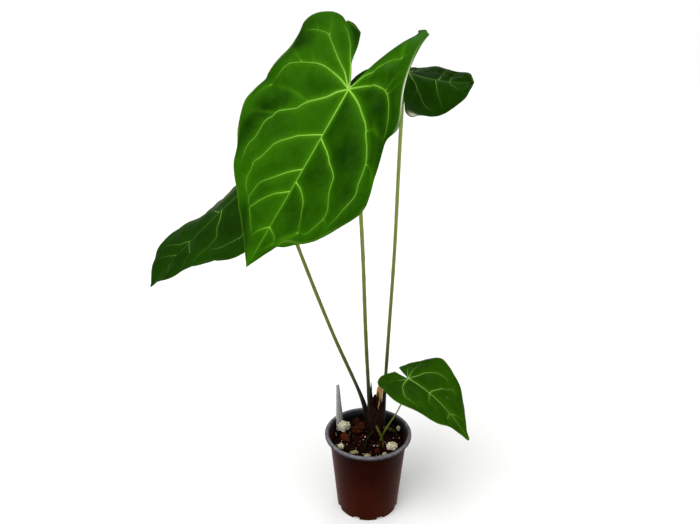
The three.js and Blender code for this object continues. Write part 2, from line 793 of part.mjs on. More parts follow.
addPiece("plant_label", labelGeometry(), FINISH.label());
cuts.push(solidOf(labelGeometry(GAP)), solidOf(stemCore(GAP)));

LUMPS.forEach((lump, i) => {
  addPiece(`pumice_${i + 1}`, lumpGeometry(lump, i + 1), FINISH.pumice());
  cuts.push(solidOf(lumpGeometry(lump, i + 1, 3 * GAP)));
});

BARKS.forEach((bark, i) => {
  addPiece(`bark_${i + 1}`, barkGeometry(bark), FINISH.bark());
  cuts.push(solidOf(barkRoom(bark)));
});

let mix = mixSolid();
for (const cut of cuts) mix = mix.subtract(cut);
addPiece("potting_mix", geometryOf(mainBody(mix)), FINISH.mix());
addPiece("pot", geometryOf(potSolid()), FINISH.pot());

export default plant;
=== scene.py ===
# %% [markdown]
# # A potted anthurium magnificum
# The plant has four heart-shaped leaves with pale veins. Each stands on a long round petiole that grows
# from one short stem, and the stem is rooted in a thin tapered pot of coarse bark mix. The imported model
# gives every solid its place and size. This script grows the fine surface of each of them, paints it and
# sets up the studio. Shapes are thought of in millimetres, and one function turns them into meshes.

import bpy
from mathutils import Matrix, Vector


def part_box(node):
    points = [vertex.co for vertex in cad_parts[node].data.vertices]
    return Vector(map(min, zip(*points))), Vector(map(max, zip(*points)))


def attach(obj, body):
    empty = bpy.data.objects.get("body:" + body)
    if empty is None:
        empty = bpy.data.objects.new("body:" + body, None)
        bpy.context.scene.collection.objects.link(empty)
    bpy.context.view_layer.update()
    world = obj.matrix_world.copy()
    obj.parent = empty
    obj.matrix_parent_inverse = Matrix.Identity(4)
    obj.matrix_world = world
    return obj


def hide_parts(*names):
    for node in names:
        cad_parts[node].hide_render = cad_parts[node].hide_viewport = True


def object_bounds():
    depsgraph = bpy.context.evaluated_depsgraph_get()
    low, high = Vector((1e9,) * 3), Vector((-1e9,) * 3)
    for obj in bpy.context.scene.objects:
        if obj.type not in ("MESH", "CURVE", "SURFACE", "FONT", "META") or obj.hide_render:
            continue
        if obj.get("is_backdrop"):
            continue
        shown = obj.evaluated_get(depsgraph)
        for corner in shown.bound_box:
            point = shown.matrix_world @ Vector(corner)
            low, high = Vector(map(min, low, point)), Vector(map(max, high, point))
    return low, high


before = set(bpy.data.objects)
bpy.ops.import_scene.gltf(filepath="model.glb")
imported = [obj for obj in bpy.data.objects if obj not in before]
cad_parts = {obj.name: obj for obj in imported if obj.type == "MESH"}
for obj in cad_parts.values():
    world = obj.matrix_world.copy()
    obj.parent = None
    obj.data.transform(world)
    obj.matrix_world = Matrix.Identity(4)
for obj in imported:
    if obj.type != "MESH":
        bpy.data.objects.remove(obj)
cad_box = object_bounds()
print("nodes in the frame:", len(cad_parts))

# %% Libraries and units
import math

import bpy
import numpy as np

MM = 0.001  # metres in a millimetre
BODY = "root"  # the one body of a part without joints


def per_mm(size):
    """The scale that gives a texture on coordinates in metres a feature of this size in millimetres."""
    return 1 / (size * MM)


# %% [markdown]
# ## The camera
# The photograph was taken from a little above the leaves, tilted down. Its camera is worked out from the
# pot: the rim's ellipse gives the tilt, and the rim's width gives the distance. The same numbers later
# tell where a point of the photograph lies on a leaf, so they are kept as named values.

# %% Camera
PHOTO_WIDTH = 700
PHOTO_HEIGHT = 524
FOCAL_PIXELS = 632.5
CAMERA_PLACE = np.array([-22.0, -650.0, 560.0])
CAMERA_DOWN = math.radians(20.2)
SENSOR_WIDTH = 36


def photo_pixel(points):
    """Where the camera sees points: the offset from the camera is split along its right, up and forward
    directions, and the first two are divided by the third and multiplied by the focal length."""
    forward = np.array([0, math.cos(CAMERA_DOWN), -math.sin(CAMERA_DOWN)])
    up = np.array([0, math.sin(CAMERA_DOWN), math.cos(CAMERA_DOWN)])
    offset = points - CAMERA_PLACE
    depth = offset @ forward
    across = PHOTO_WIDTH / 2 + FOCAL_PIXELS * offset[..., 0] / depth
    down = PHOTO_HEIGHT / 2 - FOCAL_PIXELS * (offset @ up) / depth
    return np.stack([across, down], axis=-1)


camera_data = bpy.data.cameras.new("camera")
camera_data.sensor_width = SENSOR_WIDTH
camera_data.lens = SENSOR_WIDTH * FOCAL_PIXELS / PHOTO_WIDTH
camera_data.clip_start = 0.01
camera = bpy.data.objects.new("camera", camera_data)
camera.location = CAMERA_PLACE * MM
camera.rotation_euler = (math.pi / 2 - CAMERA_DOWN, 0, 0)
bpy.context.scene.collection.objects.link(camera)
bpy.context.scene.camera = camera
print("lens", round(camera_data.lens, 2), "mm")

# %% [markdown]
# ## From formulas to meshes
# A shape is a dictionary of whole arrays: its points in millimetres, its triangles, and tags, which are
# numbers at each point that a material can read. Grids, lathes, tubes and slabs all come out of the
# same few functions. Points that fall together are welded, so that seams and poles are closed.


# %% Grids and welding
def grid(points, around=False, flipped=False, **tags):
    """A surface over a grid of points: each cell becomes two triangles. With around, the last column
    joins the first. The face looks along (step between columns) x (step between rows)."""
    rows, columns = points.shape[:2]
    number = np.arange(rows * columns).reshape(rows, columns)
    if around:
        number = np.concatenate([number, number[:, :1]], axis=1)
    a, b = number[:-1, :-1].ravel(), number[:-1, 1:].ravel()
    c, d = number[1:, 1:].ravel(), number[1:, :-1].ravel()
    faces = np.concatenate([np.stack([a, b, c], 1), np.stack([a, c, d], 1)])
    if flipped:
        faces = faces[:, ::-1]
    flat_tags = {}
    for name, value in tags.items():
        value = np.asarray(value, float)
        wide = points.shape[:2] + ((2,) if value.ndim == 3 else ())
        flat_tags[name] = np.broadcast_to(value, wide).reshape(rows * columns, -1).squeeze()
    return {"points": points.reshape(-1, 3), "faces": faces, "tags": flat_tags}


def joined(shapes):
    """Several shapes as one: their points follow each other, and their triangles count on."""
    starts = np.cumsum([0] + [len(shape["points"]) for shape in shapes])
    faces = [shape["faces"] + start for shape, start in zip(shapes, starts)]
    names = shapes[0]["tags"]
    tags = {name: np.concatenate([shape["tags"][name] for shape in shapes]) for name in names}
    points = np.concatenate([shape["points"] for shape in shapes])
    return {"points": points, "faces": np.concatenate(faces), "tags": tags}


def welded(shape):
    """Points closer than a ten-thousandth of a millimetre become one, and triangles left without area
    are dropped. A shape that is inside out has a negative volume, and is turned round."""
    rounded = np.round(shape["points"], 4) + 0.0
    _, kept, number = np.unique(rounded, axis=0, return_index=True, return_inverse=True)
    faces = number.reshape(-1)[shape["faces"]]
    a, b, c = faces.T
    faces = faces[(a != b) & (b != c) & (c != a)]
    points = shape["points"][kept]
    corners = points[faces]
    volume = np.einsum("ij,ij->", corners[:, 0], np.cross(corners[:, 1], corners[:, 2]))
    if volume < 0:
        faces = faces[:, ::-1]
    tags = {name: value[kept] for name, value in shape["tags"].items()}
    return {"points": points, "faces": faces, "tags": tags}


def open_edges(shape):
    """How many edges don't have a face on either side: none, on a closed surface."""
    faces = shape["faces"]
    edges = np.sort(np.concatenate([faces[:, :2], faces[:, 1:], faces[:, ::2]]), axis=1)
    _, uses = np.unique(edges, axis=0, return_counts=True)
    return int(np.count_nonzero(uses % 2))


# %% Slabs, lathes and tubes
def slab(upper, under, edges=("start", "end", "first", "last"), **tags):
    """A sheet with a thickness: two grids and the strips that join them along the first row (start), the
    last row (end), the first column (first) and the last column (last)."""
    parts = [grid(upper, face=np.ones(upper.shape[:2]), **tags)]
    parts.append(grid(under, flipped=True, face=np.zeros(under.shape[:2]), **tags))
    rims = {"start": (0, slice(None)), "end": (-1, slice(None))}
    rims.update({"first": (slice(None), 0), "last": (slice(None), -1)})
    for edge in edges:
        line = rims[edge]
        strip = np.stack([upper[line], under[line]], axis=1)
        wide = (len(strip), 2)
        strip_tags = {}
        for name, value in tags.items():
            value = np.broadcast_to(value, upper.shape[:2] + np.shape(value)[2:])[line]
            strip_tags[name] = np.stack([value, value], axis=1)
        parts.append(grid(strip, flipped=edge in ("end", "first"), face=np.ones(wide), **strip_tags))
    return joined(parts)


def lathe(profile, turns, **tags):
    """A profile of radii and heights carried round the Z axis: x = r cos t, y = r sin t, z = height."""
    radius, height = np.asarray(profile, float).T
    x = radius[:, None] * np.cos(turns)
    y = radius[:, None] * np.sin(turns)
    z = np.broadcast_to(height[:, None], x.shape)
    return grid(np.stack([x, y, z], axis=-1), around=True, **tags)


def frames_along(path):
    """Two directions square to a path at each of its points. The first starts anywhere and is carried
    along: at each step the part of it that lies along the path is taken away."""
    tangent = np.gradient(path, axis=0)
    tangent /= np.linalg.norm(tangent, axis=1, keepdims=True)
    side = np.cross(tangent[0], [0.3, 1.0, 0.2])
    sides = []
    for along in tangent:
        side = side - (side @ along) * along
        side = side / np.linalg.norm(side)
        sides.append(side)
    sides = np.array(sides)
    return sides, np.cross(tangent, sides)


def tube(path, radius, sides=16, across=None, up=None, flat=1.0, **tags):
    """A closed tube along a path: at each point a ring, side * r cos t + up * flat * r sin t, and at both
    ends the ring shrinks to a point. Tags are values along the path."""
    if across is None:
        across, up = frames_along(path)
    radius = np.broadcast_to(radius, len(path)).astype(float)
    turn = 2 * np.pi * np.arange(sides) / sides
    reach = radius[:, None, None]
    ring = across[:, None] * np.cos(turn)[:, None] + flat * up[:, None] * np.sin(turn)[:, None]
    body = path[:, None] + reach * ring
    first = np.broadcast_to(path[0], (1, sides, 3))
    last = np.broadcast_to(path[-1], (1, sides, 3))
    wide = {}
    for name, value in tags.items():
        value = np.asarray(value, float)
        value = value[:, None] if value.ndim == 1 else value
        value = np.broadcast_to(value, (len(path), sides))
        wide[name] = np.concatenate([value[:1], value, value[-1:]])
    return grid(np.concatenate([first, body, last]), around=True, **wide)


# %% Curves through points
def smooth(x):
    """An even step from 0 to 1: 3x^2 - 2x^3 between them."""
    x = np.clip(x, 0, 1)
    return x * x * (3 - 2 * x)


def curve_through(points, spread=0.5, steps=40):
    """A curve through all its points. Between two of them it is the cubic whose slopes there come from
    the neighbours, weighed by distance to the power spread. Returns shares of its length, and points."""
    p = np.asarray(points, float)
    ends = (2 * p[:1] - p[1:2], 2 * p[-1:] - p[-2:-1]) if spread else (p[:1], p[-1:])
    p = np.concatenate([ends[0], p, ends[1]])
    gap = np.linalg.norm(np.diff(p, axis=0), axis=1)[:, None] ** spread
    before, here, after = gap[:-2], gap[1:-1], gap[2:]
    a, b, c, d = p[:-3], p[1:-2], p[2:-1], p[3:]
    leave = here * ((b - a) / before - (c - a) / (before + here) + (c - b) / here)
    arrive = here * ((c - b) / here - (d - b) / (here + after) + (d - c) / after)
    t = np.linspace(0, 1, steps)[:, None, None]
    cubic = (2 * b - 2 * c + leave + arrive) * t**3 + (3 * c - 3 * b - 2 * leave - arrive) * t**2
    line = (cubic + leave * t + b).transpose(1, 0, 2).reshape(-1, p.shape[1])
    length = np.concatenate([[0], np.cumsum(np.linalg.norm(np.diff(line, axis=0), axis=1))])
    return length / length[-1], line


def at_share(curve, share):
    """The points of a curve at shares of its length."""
    shares, line = curve
    return np.stack([np.interp(share, shares, column) for column in line.T], axis=-1)


# %% Natural unevenness
def ripple(points, size, seed, waves=14):
    """A smooth random field from about -1 to 1: the mean of sine waves in random directions, whose
    wavelengths lie round the size in millimetres."""
    random = np.random.default_rng(seed)
    direction = random.normal(size=(points.shape[-1], waves))
    direction /= np.linalg.norm(direction, axis=0)
    number = 2 * np.pi / (size * random.uniform(0.7, 1.5, waves))
    phase = random.uniform(0, 2 * np.pi, waves)
    return np.sin(points @ (direction * number) + phase).sum(axis=-1) / math.sqrt(waves / 2)


def turned(yaw, tilt=0.0, roll=0.0):
    """A rotation matrix, or one for each entry of arrays: roll about Y, then tilt about X, then yaw
    about Z, in degrees."""
    yaw, tilt, roll = np.radians(np.broadcast_arrays(yaw, tilt, roll))
    zero, one = np.zeros_like(yaw), np.ones_like(yaw)

    def matrix(rows):
        return np.stack([np.stack(row, axis=-1) for row in rows], axis=-2)

    cy, sy = np.cos(yaw), np.sin(yaw)
    ct, st = np.cos(tilt), np.sin(tilt)
    cr, sr = np.cos(roll), np.sin(roll)
    about_z = matrix([[cy, -sy, zero], [sy, cy, zero], [zero, zero, one]])
    about_x = matrix([[one, zero, zero], [zero, ct, -st], [zero, st, ct]])
    about_y = matrix([[cr, zero, sr], [zero, one, zero], [-sr, zero, cr]])
    return about_z @ about_x @ about_y


# %% Pieces
def add_piece(name, shape, material, replaces=(), crease=50):
    """Welds a shape, makes it a mesh in metres with its tags, and hangs it on the plant's body. Edges
    sharper than crease degrees stay sharp. A tag of two values, flat, becomes the UV map."""
    made = welded(shape)
    mesh = bpy.data.meshes.new(name)
    mesh.vertices.add(len(made["points"]))
    mesh.vertices.foreach_set("co", (made["points"] * MM).astype(np.float32).ravel())
    count = len(made["faces"])
    mesh.loops.add(3 * count)
    mesh.loops.foreach_set("vertex_index", made["faces"].astype(np.int32).ravel())
    mesh.polygons.add(count)
    mesh.polygons.foreach_set("loop_start", np.arange(0, 3 * count, 3, dtype=np.int32))
    mesh.update(calc_edges=True)
    mesh.validate()
    for tag, value in made["tags"].items():
        if value.ndim == 2:
            layer = mesh.uv_layers.new(name=tag)
            layer.data.foreach_set("uv", (value[made["faces"].ravel()] * MM).astype(np.float32).ravel())
            continue
        attribute = mesh.attributes.new(tag, "FLOAT", "POINT")
        attribute.data.foreach_set("value", value.astype(np.float32))
    mesh.shade_smooth()
    mesh.set_sharp_from_angle(angle=math.radians(crease))
    mesh.materials.append(material)
    piece = bpy.data.objects.new(name, mesh)
    bpy.context.scene.collection.objects.link(piece)
    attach(piece, BODY)
    if replaces:
        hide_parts(*replaces)
    print(f"{name}: {count} triangles, {open_edges(made)} open edges")
    return piece


# %% [markdown]
# ## Finishes
# Every finish is a node tree on the Principled shader. Colours are written as the hex values that a
# colour picker shows, and one function turns them to the linear values that light adds up in. Patterns
# read Object coordinates, or the leaf's own flat plan where they have to follow the blade.


# %% Colour and node helpers
def linear(code):
    """A hex sRGB colour as linear red, green, blue and alpha."""
    values = [int(code[i : i + 2], 16) / 255 for i in (1, 3, 5)]
    return (*[v / 12.92 if v <= 0.04045 else ((v + 0.055) / 1.055) ** 2.4 for v in values], 1.0)


def fill(tree, node, inputs):
    """Fills a node's inputs, by name or number: a socket is linked, and a hex colour is made linear."""
    for name, value in inputs.items():
        if isinstance(value, bpy.types.NodeSocket):
            tree.links.new(value, node.inputs[name])
        else:
            node.inputs[name].default_value = linear(value) if isinstance(value, str) else value


def add_node(tree, kind, inputs, out=0, **settings):
    """Adds one node with its settings and inputs, and gives back one of its output sockets."""
    node = tree.nodes.new("ShaderNode" + kind)
    for name, value in settings.items():
        setattr(node, name, value)
    fill(tree, node, inputs)
    return node.outputs[out]


def new_finish(name):
    """An empty node tree with a Principled shader on its output."""
    material = bpy.data.materials.new(name)
    material.use_nodes = True
    tree = material.node_tree
    tree.nodes.clear()
    shader = tree.nodes.new("ShaderNodeBsdfPrincipled")
    output = tree.nodes.new("ShaderNodeOutputMaterial")
    tree.links.new(shader.outputs["BSDF"], output.inputs["Surface"])
    return material, tree, shader


A, B = 6, 7  # the two colour inputs of a Mix node
COLOUR_MIX = {"out": 2, "data_type": "RGBA"}  # its colour output, and its setting

# %% [markdown]
# ### Leaf skin
# The upper face of this leaf is satin: tiny cells give it a soft, slightly velvety sheen. The veins are
# pale, and the flesh beside them is lighter for a few millimetres. Between them a fine net of veins
# is just visible. The underside is paler and duller. So the colour is mixed from a deep and a light
# flesh tone, the glow beside veins, the pale margin and the underside, by tags on the mesh. Other tags
# lay spots of painted shade and painted light, and of dust with a painted sheen.


# %% Leaf skin
def leaf_skin(name, deep, flesh, glow, margin, under, roughness=0.42):
    """Colours laid over each other by shares: clouds of light flesh on deep flesh, with spots of
    painted shade and painted light, then dust and a painted sheen, the net of fine veins, the glow
    beside raised veins, and the margin. The underside has its own tone and the net."""
    material, tree, shader = new_finish(name)
    plan = add_node(tree, "UVMap", {}, uv_map="flat")
    tags = ("halo", "rim", "face", "pale", "shade", "dust")
    halo, rim, face, pale, shade, dust = [
        add_node(tree, "Attribute", {}, "Fac", attribute_name=tag) for tag in tags
    ]

    # Clouds about 38 mm across, darker under spots of painted shade and lighter under spots of painted light
    cloud = {"Vector": plan, "Scale": per_mm(38), "Detail": 3.0, "Roughness": 0.55}
    cloud = {"Value": add_node(tree, "TexNoise", cloud), "From Min": 0.35, "From Max": 0.65}
    cloud = add_node(tree, "MapRange", {**cloud, "To Min": 0.5, "To Max": 1.1})
    light = add_node(tree, "Math", {0: cloud, 1: shade}, operation="SUBTRACT", use_clamp=True)

    # The net: the borders of irregular cells about 6 mm across
    warp = add_node(tree, "TexNoise", {"Vector": plan, "Scale": per_mm(9), "Detail": 2.0}, "Color")
    drift = add_node(tree, "VectorMath", {0: warp, "Scale": 4 * MM}, operation="SCALE")
    bent_plan = add_node(tree, "VectorMath", {0: plan, 1: drift}, operation="ADD")
    cells = {"Vector": bent_plan, "Scale": per_mm(6.5)}
    cells = add_node(tree, "TexVoronoi", cells, "Distance", feature="DISTANCE_TO_EDGE")
    net = {"Value": cells, "From Min": 0.08, "From Max": 0.0, "To Max": 0.05}
    net = add_node(tree, "MapRange", net, interpolation_type="SMOOTHSTEP")

    # The margin's tone, near white where the tag pale is high: on the largest leaf partly a painted highlight
    edge = add_node(tree, "Mix", {0: pale, A: margin, B: "#dfe6c8"}, **COLOUR_MIX)
    tone = deep
    # Over the deep flesh: light flesh, then grey-green dust and painted sheen, the net, the glow and the
    # margin
    for share, top in ((light, flesh), (dust, "#8f9b7c"), (net, glow), (halo, glow), (rim, edge)):
        tone = add_node(tree, "Mix", {0: share, A: tone, B: top}, **COLOUR_MIX)
    below = add_node(tree, "Mix", {0: net, A: under, B: tone}, **COLOUR_MIX)
    colour = add_node(tree, "Mix", {0: face, A: below, B: tone}, **COLOUR_MIX)

    grain = add_node(tree, "TexNoise", {"Vector": plan, "Scale": per_mm(1.2), "Detail": 2.0})
    relief = add_node(tree, "Math", {0: net, 1: -3.2, 2: grain}, operation="MULTIPLY_ADD")
    bump = add_node(tree, "Bump", {"Height": relief, "Strength": 0.5, "Distance": 0.12 * MM})
    gloss = {"Value": cloud, "To Min": roughness - 0.05, "To Max": roughness + 0.07}
    gloss = add_node(tree, "MapRange", gloss)
    sockets = {"Base Color": colour, "Roughness": gloss, "Normal": bump}
    fill(tree, shader, {**sockets, "Specular IOR Level": 0.03, "Specular Tint": "#b8e08c"})
    return material


# %% Vein skin
def vein_skin(name, pale, flesh):
    """Veins: pale at their root and nearly the blade's green at their end, by the tag fade."""
    material, tree, shader = new_finish(name)
    place = add_node(tree, "TexCoord", {}, "Object")
    fade = add_node(tree, "Attribute", {}, "Fac", attribute_name="fade")
    mottle = add_node(tree, "TexNoise", {"Vector": place, "Scale": per_mm(4), "Detail": 2.0})
    share = add_node(tree, "MapRange", {"Value": mottle, "To Min": 0.8, "To Max": 1.15})
    share = add_node(tree, "Math", {0: fade, 1: share}, operation="MULTIPLY", use_clamp=True)
    colour = add_node(tree, "Mix", {0: share, A: flesh, B: pale}, **COLOUR_MIX)
    bump = add_node(tree, "Bump", {"Height": mottle, "Strength": 0.4, "Distance": 0.1 * MM})
    sockets = {"Base Color": colour, "Roughness": 0.45, "Normal": bump, "Specular IOR Level": 0.06}
    fill(tree, shader, sockets)
    return material


# %% [markdown]
# ### Petioles, roots and sheaths
# A petiole is smooth and waxy: grey-green above, olive lower down and almost black where it leaves the
# stem. Fine lengthwise streaks break its colour. The height of a point over the potting mix sets the tone.


# %% Petiole skin
def petiole_skin(name, foot, middle, top):
    """Three tones from foot to top: the tag climb, made uneven by streaks, runs from 0 to 1 up a stalk."""
    material, tree, shader = new_finish(name)
    place = add_node(tree, "TexCoord", {}, "Object")
    climb = add_node(tree, "Attribute", {}, "Fac", attribute_name="climb")
    streaks = add_node(tree, "Mapping", {"Vector": place, "Scale": (1.0, 1.0, 0.08)})
    streaks = add_node(tree, "TexNoise", {"Vector": streaks, "Scale": per_mm(1.6), "Detail": 3.0})
    streaky = add_node(tree, "Math", {0: streaks, 1: 0.16, 2: -0.08}, operation="MULTIPLY_ADD")
    climb = add_node(tree, "Math", {0: climb, 1: streaky}, operation="ADD")
    low = {"Value": climb, "From Min": 0.1, "From Max": 0.36}
    low = add_node(tree, "MapRange", low, interpolation_type="SMOOTHSTEP")
    high = add_node(tree, "MapRange", {"Value": climb, "From Min": 0.3, "From Max": 1.0})
    colour = add_node(tree, "Mix", {0: low, A: foot, B: middle}, **COLOUR_MIX)
    colour = add_node(tree, "Mix", {0: high, A: colour, B: top}, **COLOUR_MIX)
    bump = add_node(tree, "Bump", {"Height": streaks, "Strength": 0.4, "Distance": 0.15 * MM})
    sockets = {"Base Color": colour, "Roughness": 0.45, "Normal": bump, "Specular IOR Level": 0.15}
    fill(tree, shader, sockets)
    return material


# %% Mottled matt finishes
def mottled(name, dark, light, size, roughness, depth, stretch=(1.0, 1.0, 1.0), edge=None):
    """A dull natural finish: two tones mixed by noise of a size in millimetres, and by the piece's own
    tag tone, with relief of a depth in millimetres. Edge is a third tone, laid on by the tag edge."""
    material, tree, shader = new_finish(name)
    place = add_node(tree, "TexCoord", {}, "Object")
    place = add_node(tree, "Mapping", {"Vector": place, "Scale": stretch})
    noise = {"Vector": place, "Scale": per_mm(size), "Detail": 5.0, "Roughness": 0.6}
    noise = add_node(tree, "TexNoise", noise)
    tone = add_node(tree, "Attribute", {}, "Fac", attribute_name="tone")
    share = add_node(tree, "Math", {0: noise, 1: 1.3, 2: -0.65}, operation="MULTIPLY_ADD")
    share = add_node(tree, "Math", {0: share, 1: tone}, operation="ADD", use_clamp=True)
    colour = add_node(tree, "Mix", {0: share, A: dark, B: light}, **COLOUR_MIX)
    if edge:
        line = add_node(tree, "Attribute", {}, "Fac", attribute_name="edge")
        colour = add_node(tree, "Mix", {0: line, A: colour, B: edge}, **COLOUR_MIX)
    bump = add_node(tree, "Bump", {"Height": noise, "Strength": 0.8, "Distance": depth * MM})
    sockets = {"Base Color": colour, "Roughness": roughness, "Normal": bump, "Specular IOR Level": 0.06}
    fill(tree, shader, sockets)
    return material


# %% [markdown]
# ### Pot plastic
# The pot is thermoformed from a thin two-layer sheet: terracotta-brown polypropylene outside and black
# inside. At the rim the sheet is rolled outwards, so the black layer shows there. The skin is satin, with
# faint rings from the mould and a little dust, and a painted highlight lies pale grey along the lip's
# crest. The tag skin is 1 on the brown layer and 0 on the black.


# %% Pot plastic
def pot_plastic(name, brown, worn, black, dusty, scuffed):
    """The brown layer grows warmer towards the foot, in clouds. The black one is dusty, and a painted
    highlight turns it pale grey along the lip's crest, in patches. Noise drawn out into level rings gives
    the relief."""
    material, tree, shader = new_finish(name)
    place = add_node(tree, "TexCoord", {}, "Object")
    skin = add_node(tree, "Attribute", {}, "Fac", attribute_name="skin")
    scuff = add_node(tree, "Attribute", {}, "Fac", attribute_name="scuff")
    cloud = add_node(tree, "TexNoise", {"Vector": place, "Scale": per_mm(26), "Detail": 4.0})
    dust = add_node(tree, "TexNoise", {"Vector": place, "Scale": per_mm(5), "Detail": 6.0})
    low = {"Value": add_node(tree, "SeparateXYZ", {0: place}, "Z"), "From Min": 95 * MM, "From Max": 0.0}
    low = add_node(tree, "MapRange", {**low, "To Min": -0.4, "To Max": 0.45})
    share = add_node(tree, "Math", {0: cloud, 1: low}, operation="ADD", use_clamp=True)
    scuff = add_node(tree, "Math", {0: scuff, 1: dust}, operation="MULTIPLY", use_clamp=True)
    # Lighter brown in clouds and towards the foot
    outer = add_node(tree, "Mix", {0: share, A: brown, B: worn}, **COLOUR_MIX)
    inner = add_node(tree, "Mix", {0: dust, A: black, B: dusty}, **COLOUR_MIX)
    inner = add_node(tree, "Mix", {0: scuff, A: inner, B: scuffed}, **COLOUR_MIX)
    colour = add_node(tree, "Mix", {0: skin, A: inner, B: outer}, **COLOUR_MIX)
    rings = add_node(tree, "Mapping", {"Vector": place, "Scale": (0.03, 0.03, 1.0)})
    rings = add_node(tree, "TexNoise", {"Vector": rings, "Scale": per_mm(3.5), "Detail": 2.0})
    bump = add_node(tree, "Bump", {"Height": rings, "Strength": 0.35, "Distance": 0.12 * MM})
    gloss = add_node(tree, "MapRange", {"Value": dust, "To Min": 0.3, "To Max": 0.46})
    sockets = {"Base Color": colour, "Roughness": gloss, "Normal": bump}
    sheen = {"Sheen Weight": 0.08, "Sheen Roughness": 0.35, "Sheen Tint": "#ff6a28"}
    fill(tree, shader, {**sockets, **sheen, "Specular IOR Level": 0.03, "Specular Tint": "#ff6a40"})
    return material


# %% The plant's finishes
FIBROUS = (1.0, 1.0, 0.2)  # draws a grain out to five times its width along the stem

FINISH = {
    # Living leaf: satin and soft, a fresh green when young and almost black green when old. Its three
    # tones also carry painted light on the brightest leaf and painted shade on the darkest ones
    "leaf_bright": leaf_skin("leaf_skin_bright", "#0c2e00", "#285a01", "#458209", "#6c8f2c", "#5f7f3c"),
    "leaf_dark": leaf_skin("leaf_skin_dark", "#0a1c01", "#163901", "#234808", "#41581c", "#3c5024", 0.5),
    "leaf_mid": leaf_skin("leaf_skin_mid", "#122e00", "#264e01", "#3b6b0c", "#5c7a22", "#5f7a3c"),
    # Leaf vein: less green in it than in the flesh, so it looks pale and yellow
    "vein_bright": vein_skin("vein_bright", "#93cc48", "#38740a"),
    "vein_dark": vein_skin("vein_dark", "#6e9c3e", "#26480c"),
    "vein_mid": vein_skin("vein_mid", "#a2cc62", "#3a6812"),
    "rib": vein_skin("rib_under", "#9db36a", "#6f8a46"),
    # Waxy stalk: smooth, with a soft gleam
    "petiole": petiole_skin("petiole_skin", "#060402", "#55641a", "#a0b45c"),
    # Thermoformed polypropylene: satin, a dark brown skin on black, with a painted highlight on the lip
    "pot": pot_plastic("two_layer_polypropylene", "#120100", "#340e03", "#09090a", "#151518", "#86868e"),
    # Damp bark compost: near black and without any gleam
    "mix": mottled("bark_mix", "#050201", "#461707", 2.2, 0.85, 0.6),
    # Broken fir bark: rough and orange-brown, with paler torn edges
    "bark": mottled("fir_bark", "#0c0401", "#5e2a0e", 2.6, 0.7, 0.6, (1.0, 1.0, 2.4), "#a8742f"),
    # Pumice and perlite: chalky, with dark pits
    "pumice": mottled("pumice", "#7a7444", "#f6f2d6", 1.6, 0.95, 0.6),
    # Dry leaf sheath: dull brown paper with fibres along it
    "husk": mottled("dry_leaf_sheath", "#050201", "#2c1206", 1.8, 0.7, 0.5, FIBROUS, "#4c2814"),
    # Fresh leaf sheath: thin, tan and a little glossy, with pale edges
    "sheath": mottled("young_leaf_sheath", "#96642e", "#d8ae72", 2.0, 0.55, 0.25, FIBROUS, "#f4ecd8"),
    # Aerial root: matt, from olive to brown
    "root": mottled("aerial_root", "#131204", "#7d7a2c", 1.8, 0.65, 0.3),
    # Moulded polystyrene, weathered: white under grey dirt
    "label": mottled("plain_polystyrene_tag", "#181a16", "#e2e4e0", 1.2, 0.45, 0.1),
}
print("finishes:", ", ".join(FINISH))

# %% [markdown]
# ## Leaves
# A leaf starts as a flat heart: its outline is a smooth curve through radii from the petiole's joint. Any
# point of a half has two shares: a runs round the margin from the inner corner of the heart to the tip,
# and b runs out from the joint or the midrib to the margin. The flat heart is then folded along its
# midrib, curled, twisted and drooped, and placed at its joint. The values are those of the solids. What
# the solids leave out is added here: bulges and dents of the margin, each as the share where it lies,
# its width and its depth in millimetres, and lobes that turn down towards the heart's inner corner.

# %% Leaf values
OUTLINE_ANGLES = [152, 134, 116, 98, 80, 63, 47, 33, 20, 11, 5]  # degrees from the tip's direction
SIDES = {"right": 1, "left": -1}
# Each spot is a, b, its reach in a and in b, and its strength: painted shade, and painted light if below 0
PLAIN_HALF = dict(sinus_bow=0.1, vein_bow=0.28, bulges=[], sinus_bulges=[], turned_down=(0, 0))
PLAIN_HALF.update(pale_margin=(0, 1, 0, 1), shade=[], dust=[])


def half(**values):
    """The values of half a leaf: those given, and for the rest the ones of a plain half."""
    return {**PLAIN_HALF, **values}


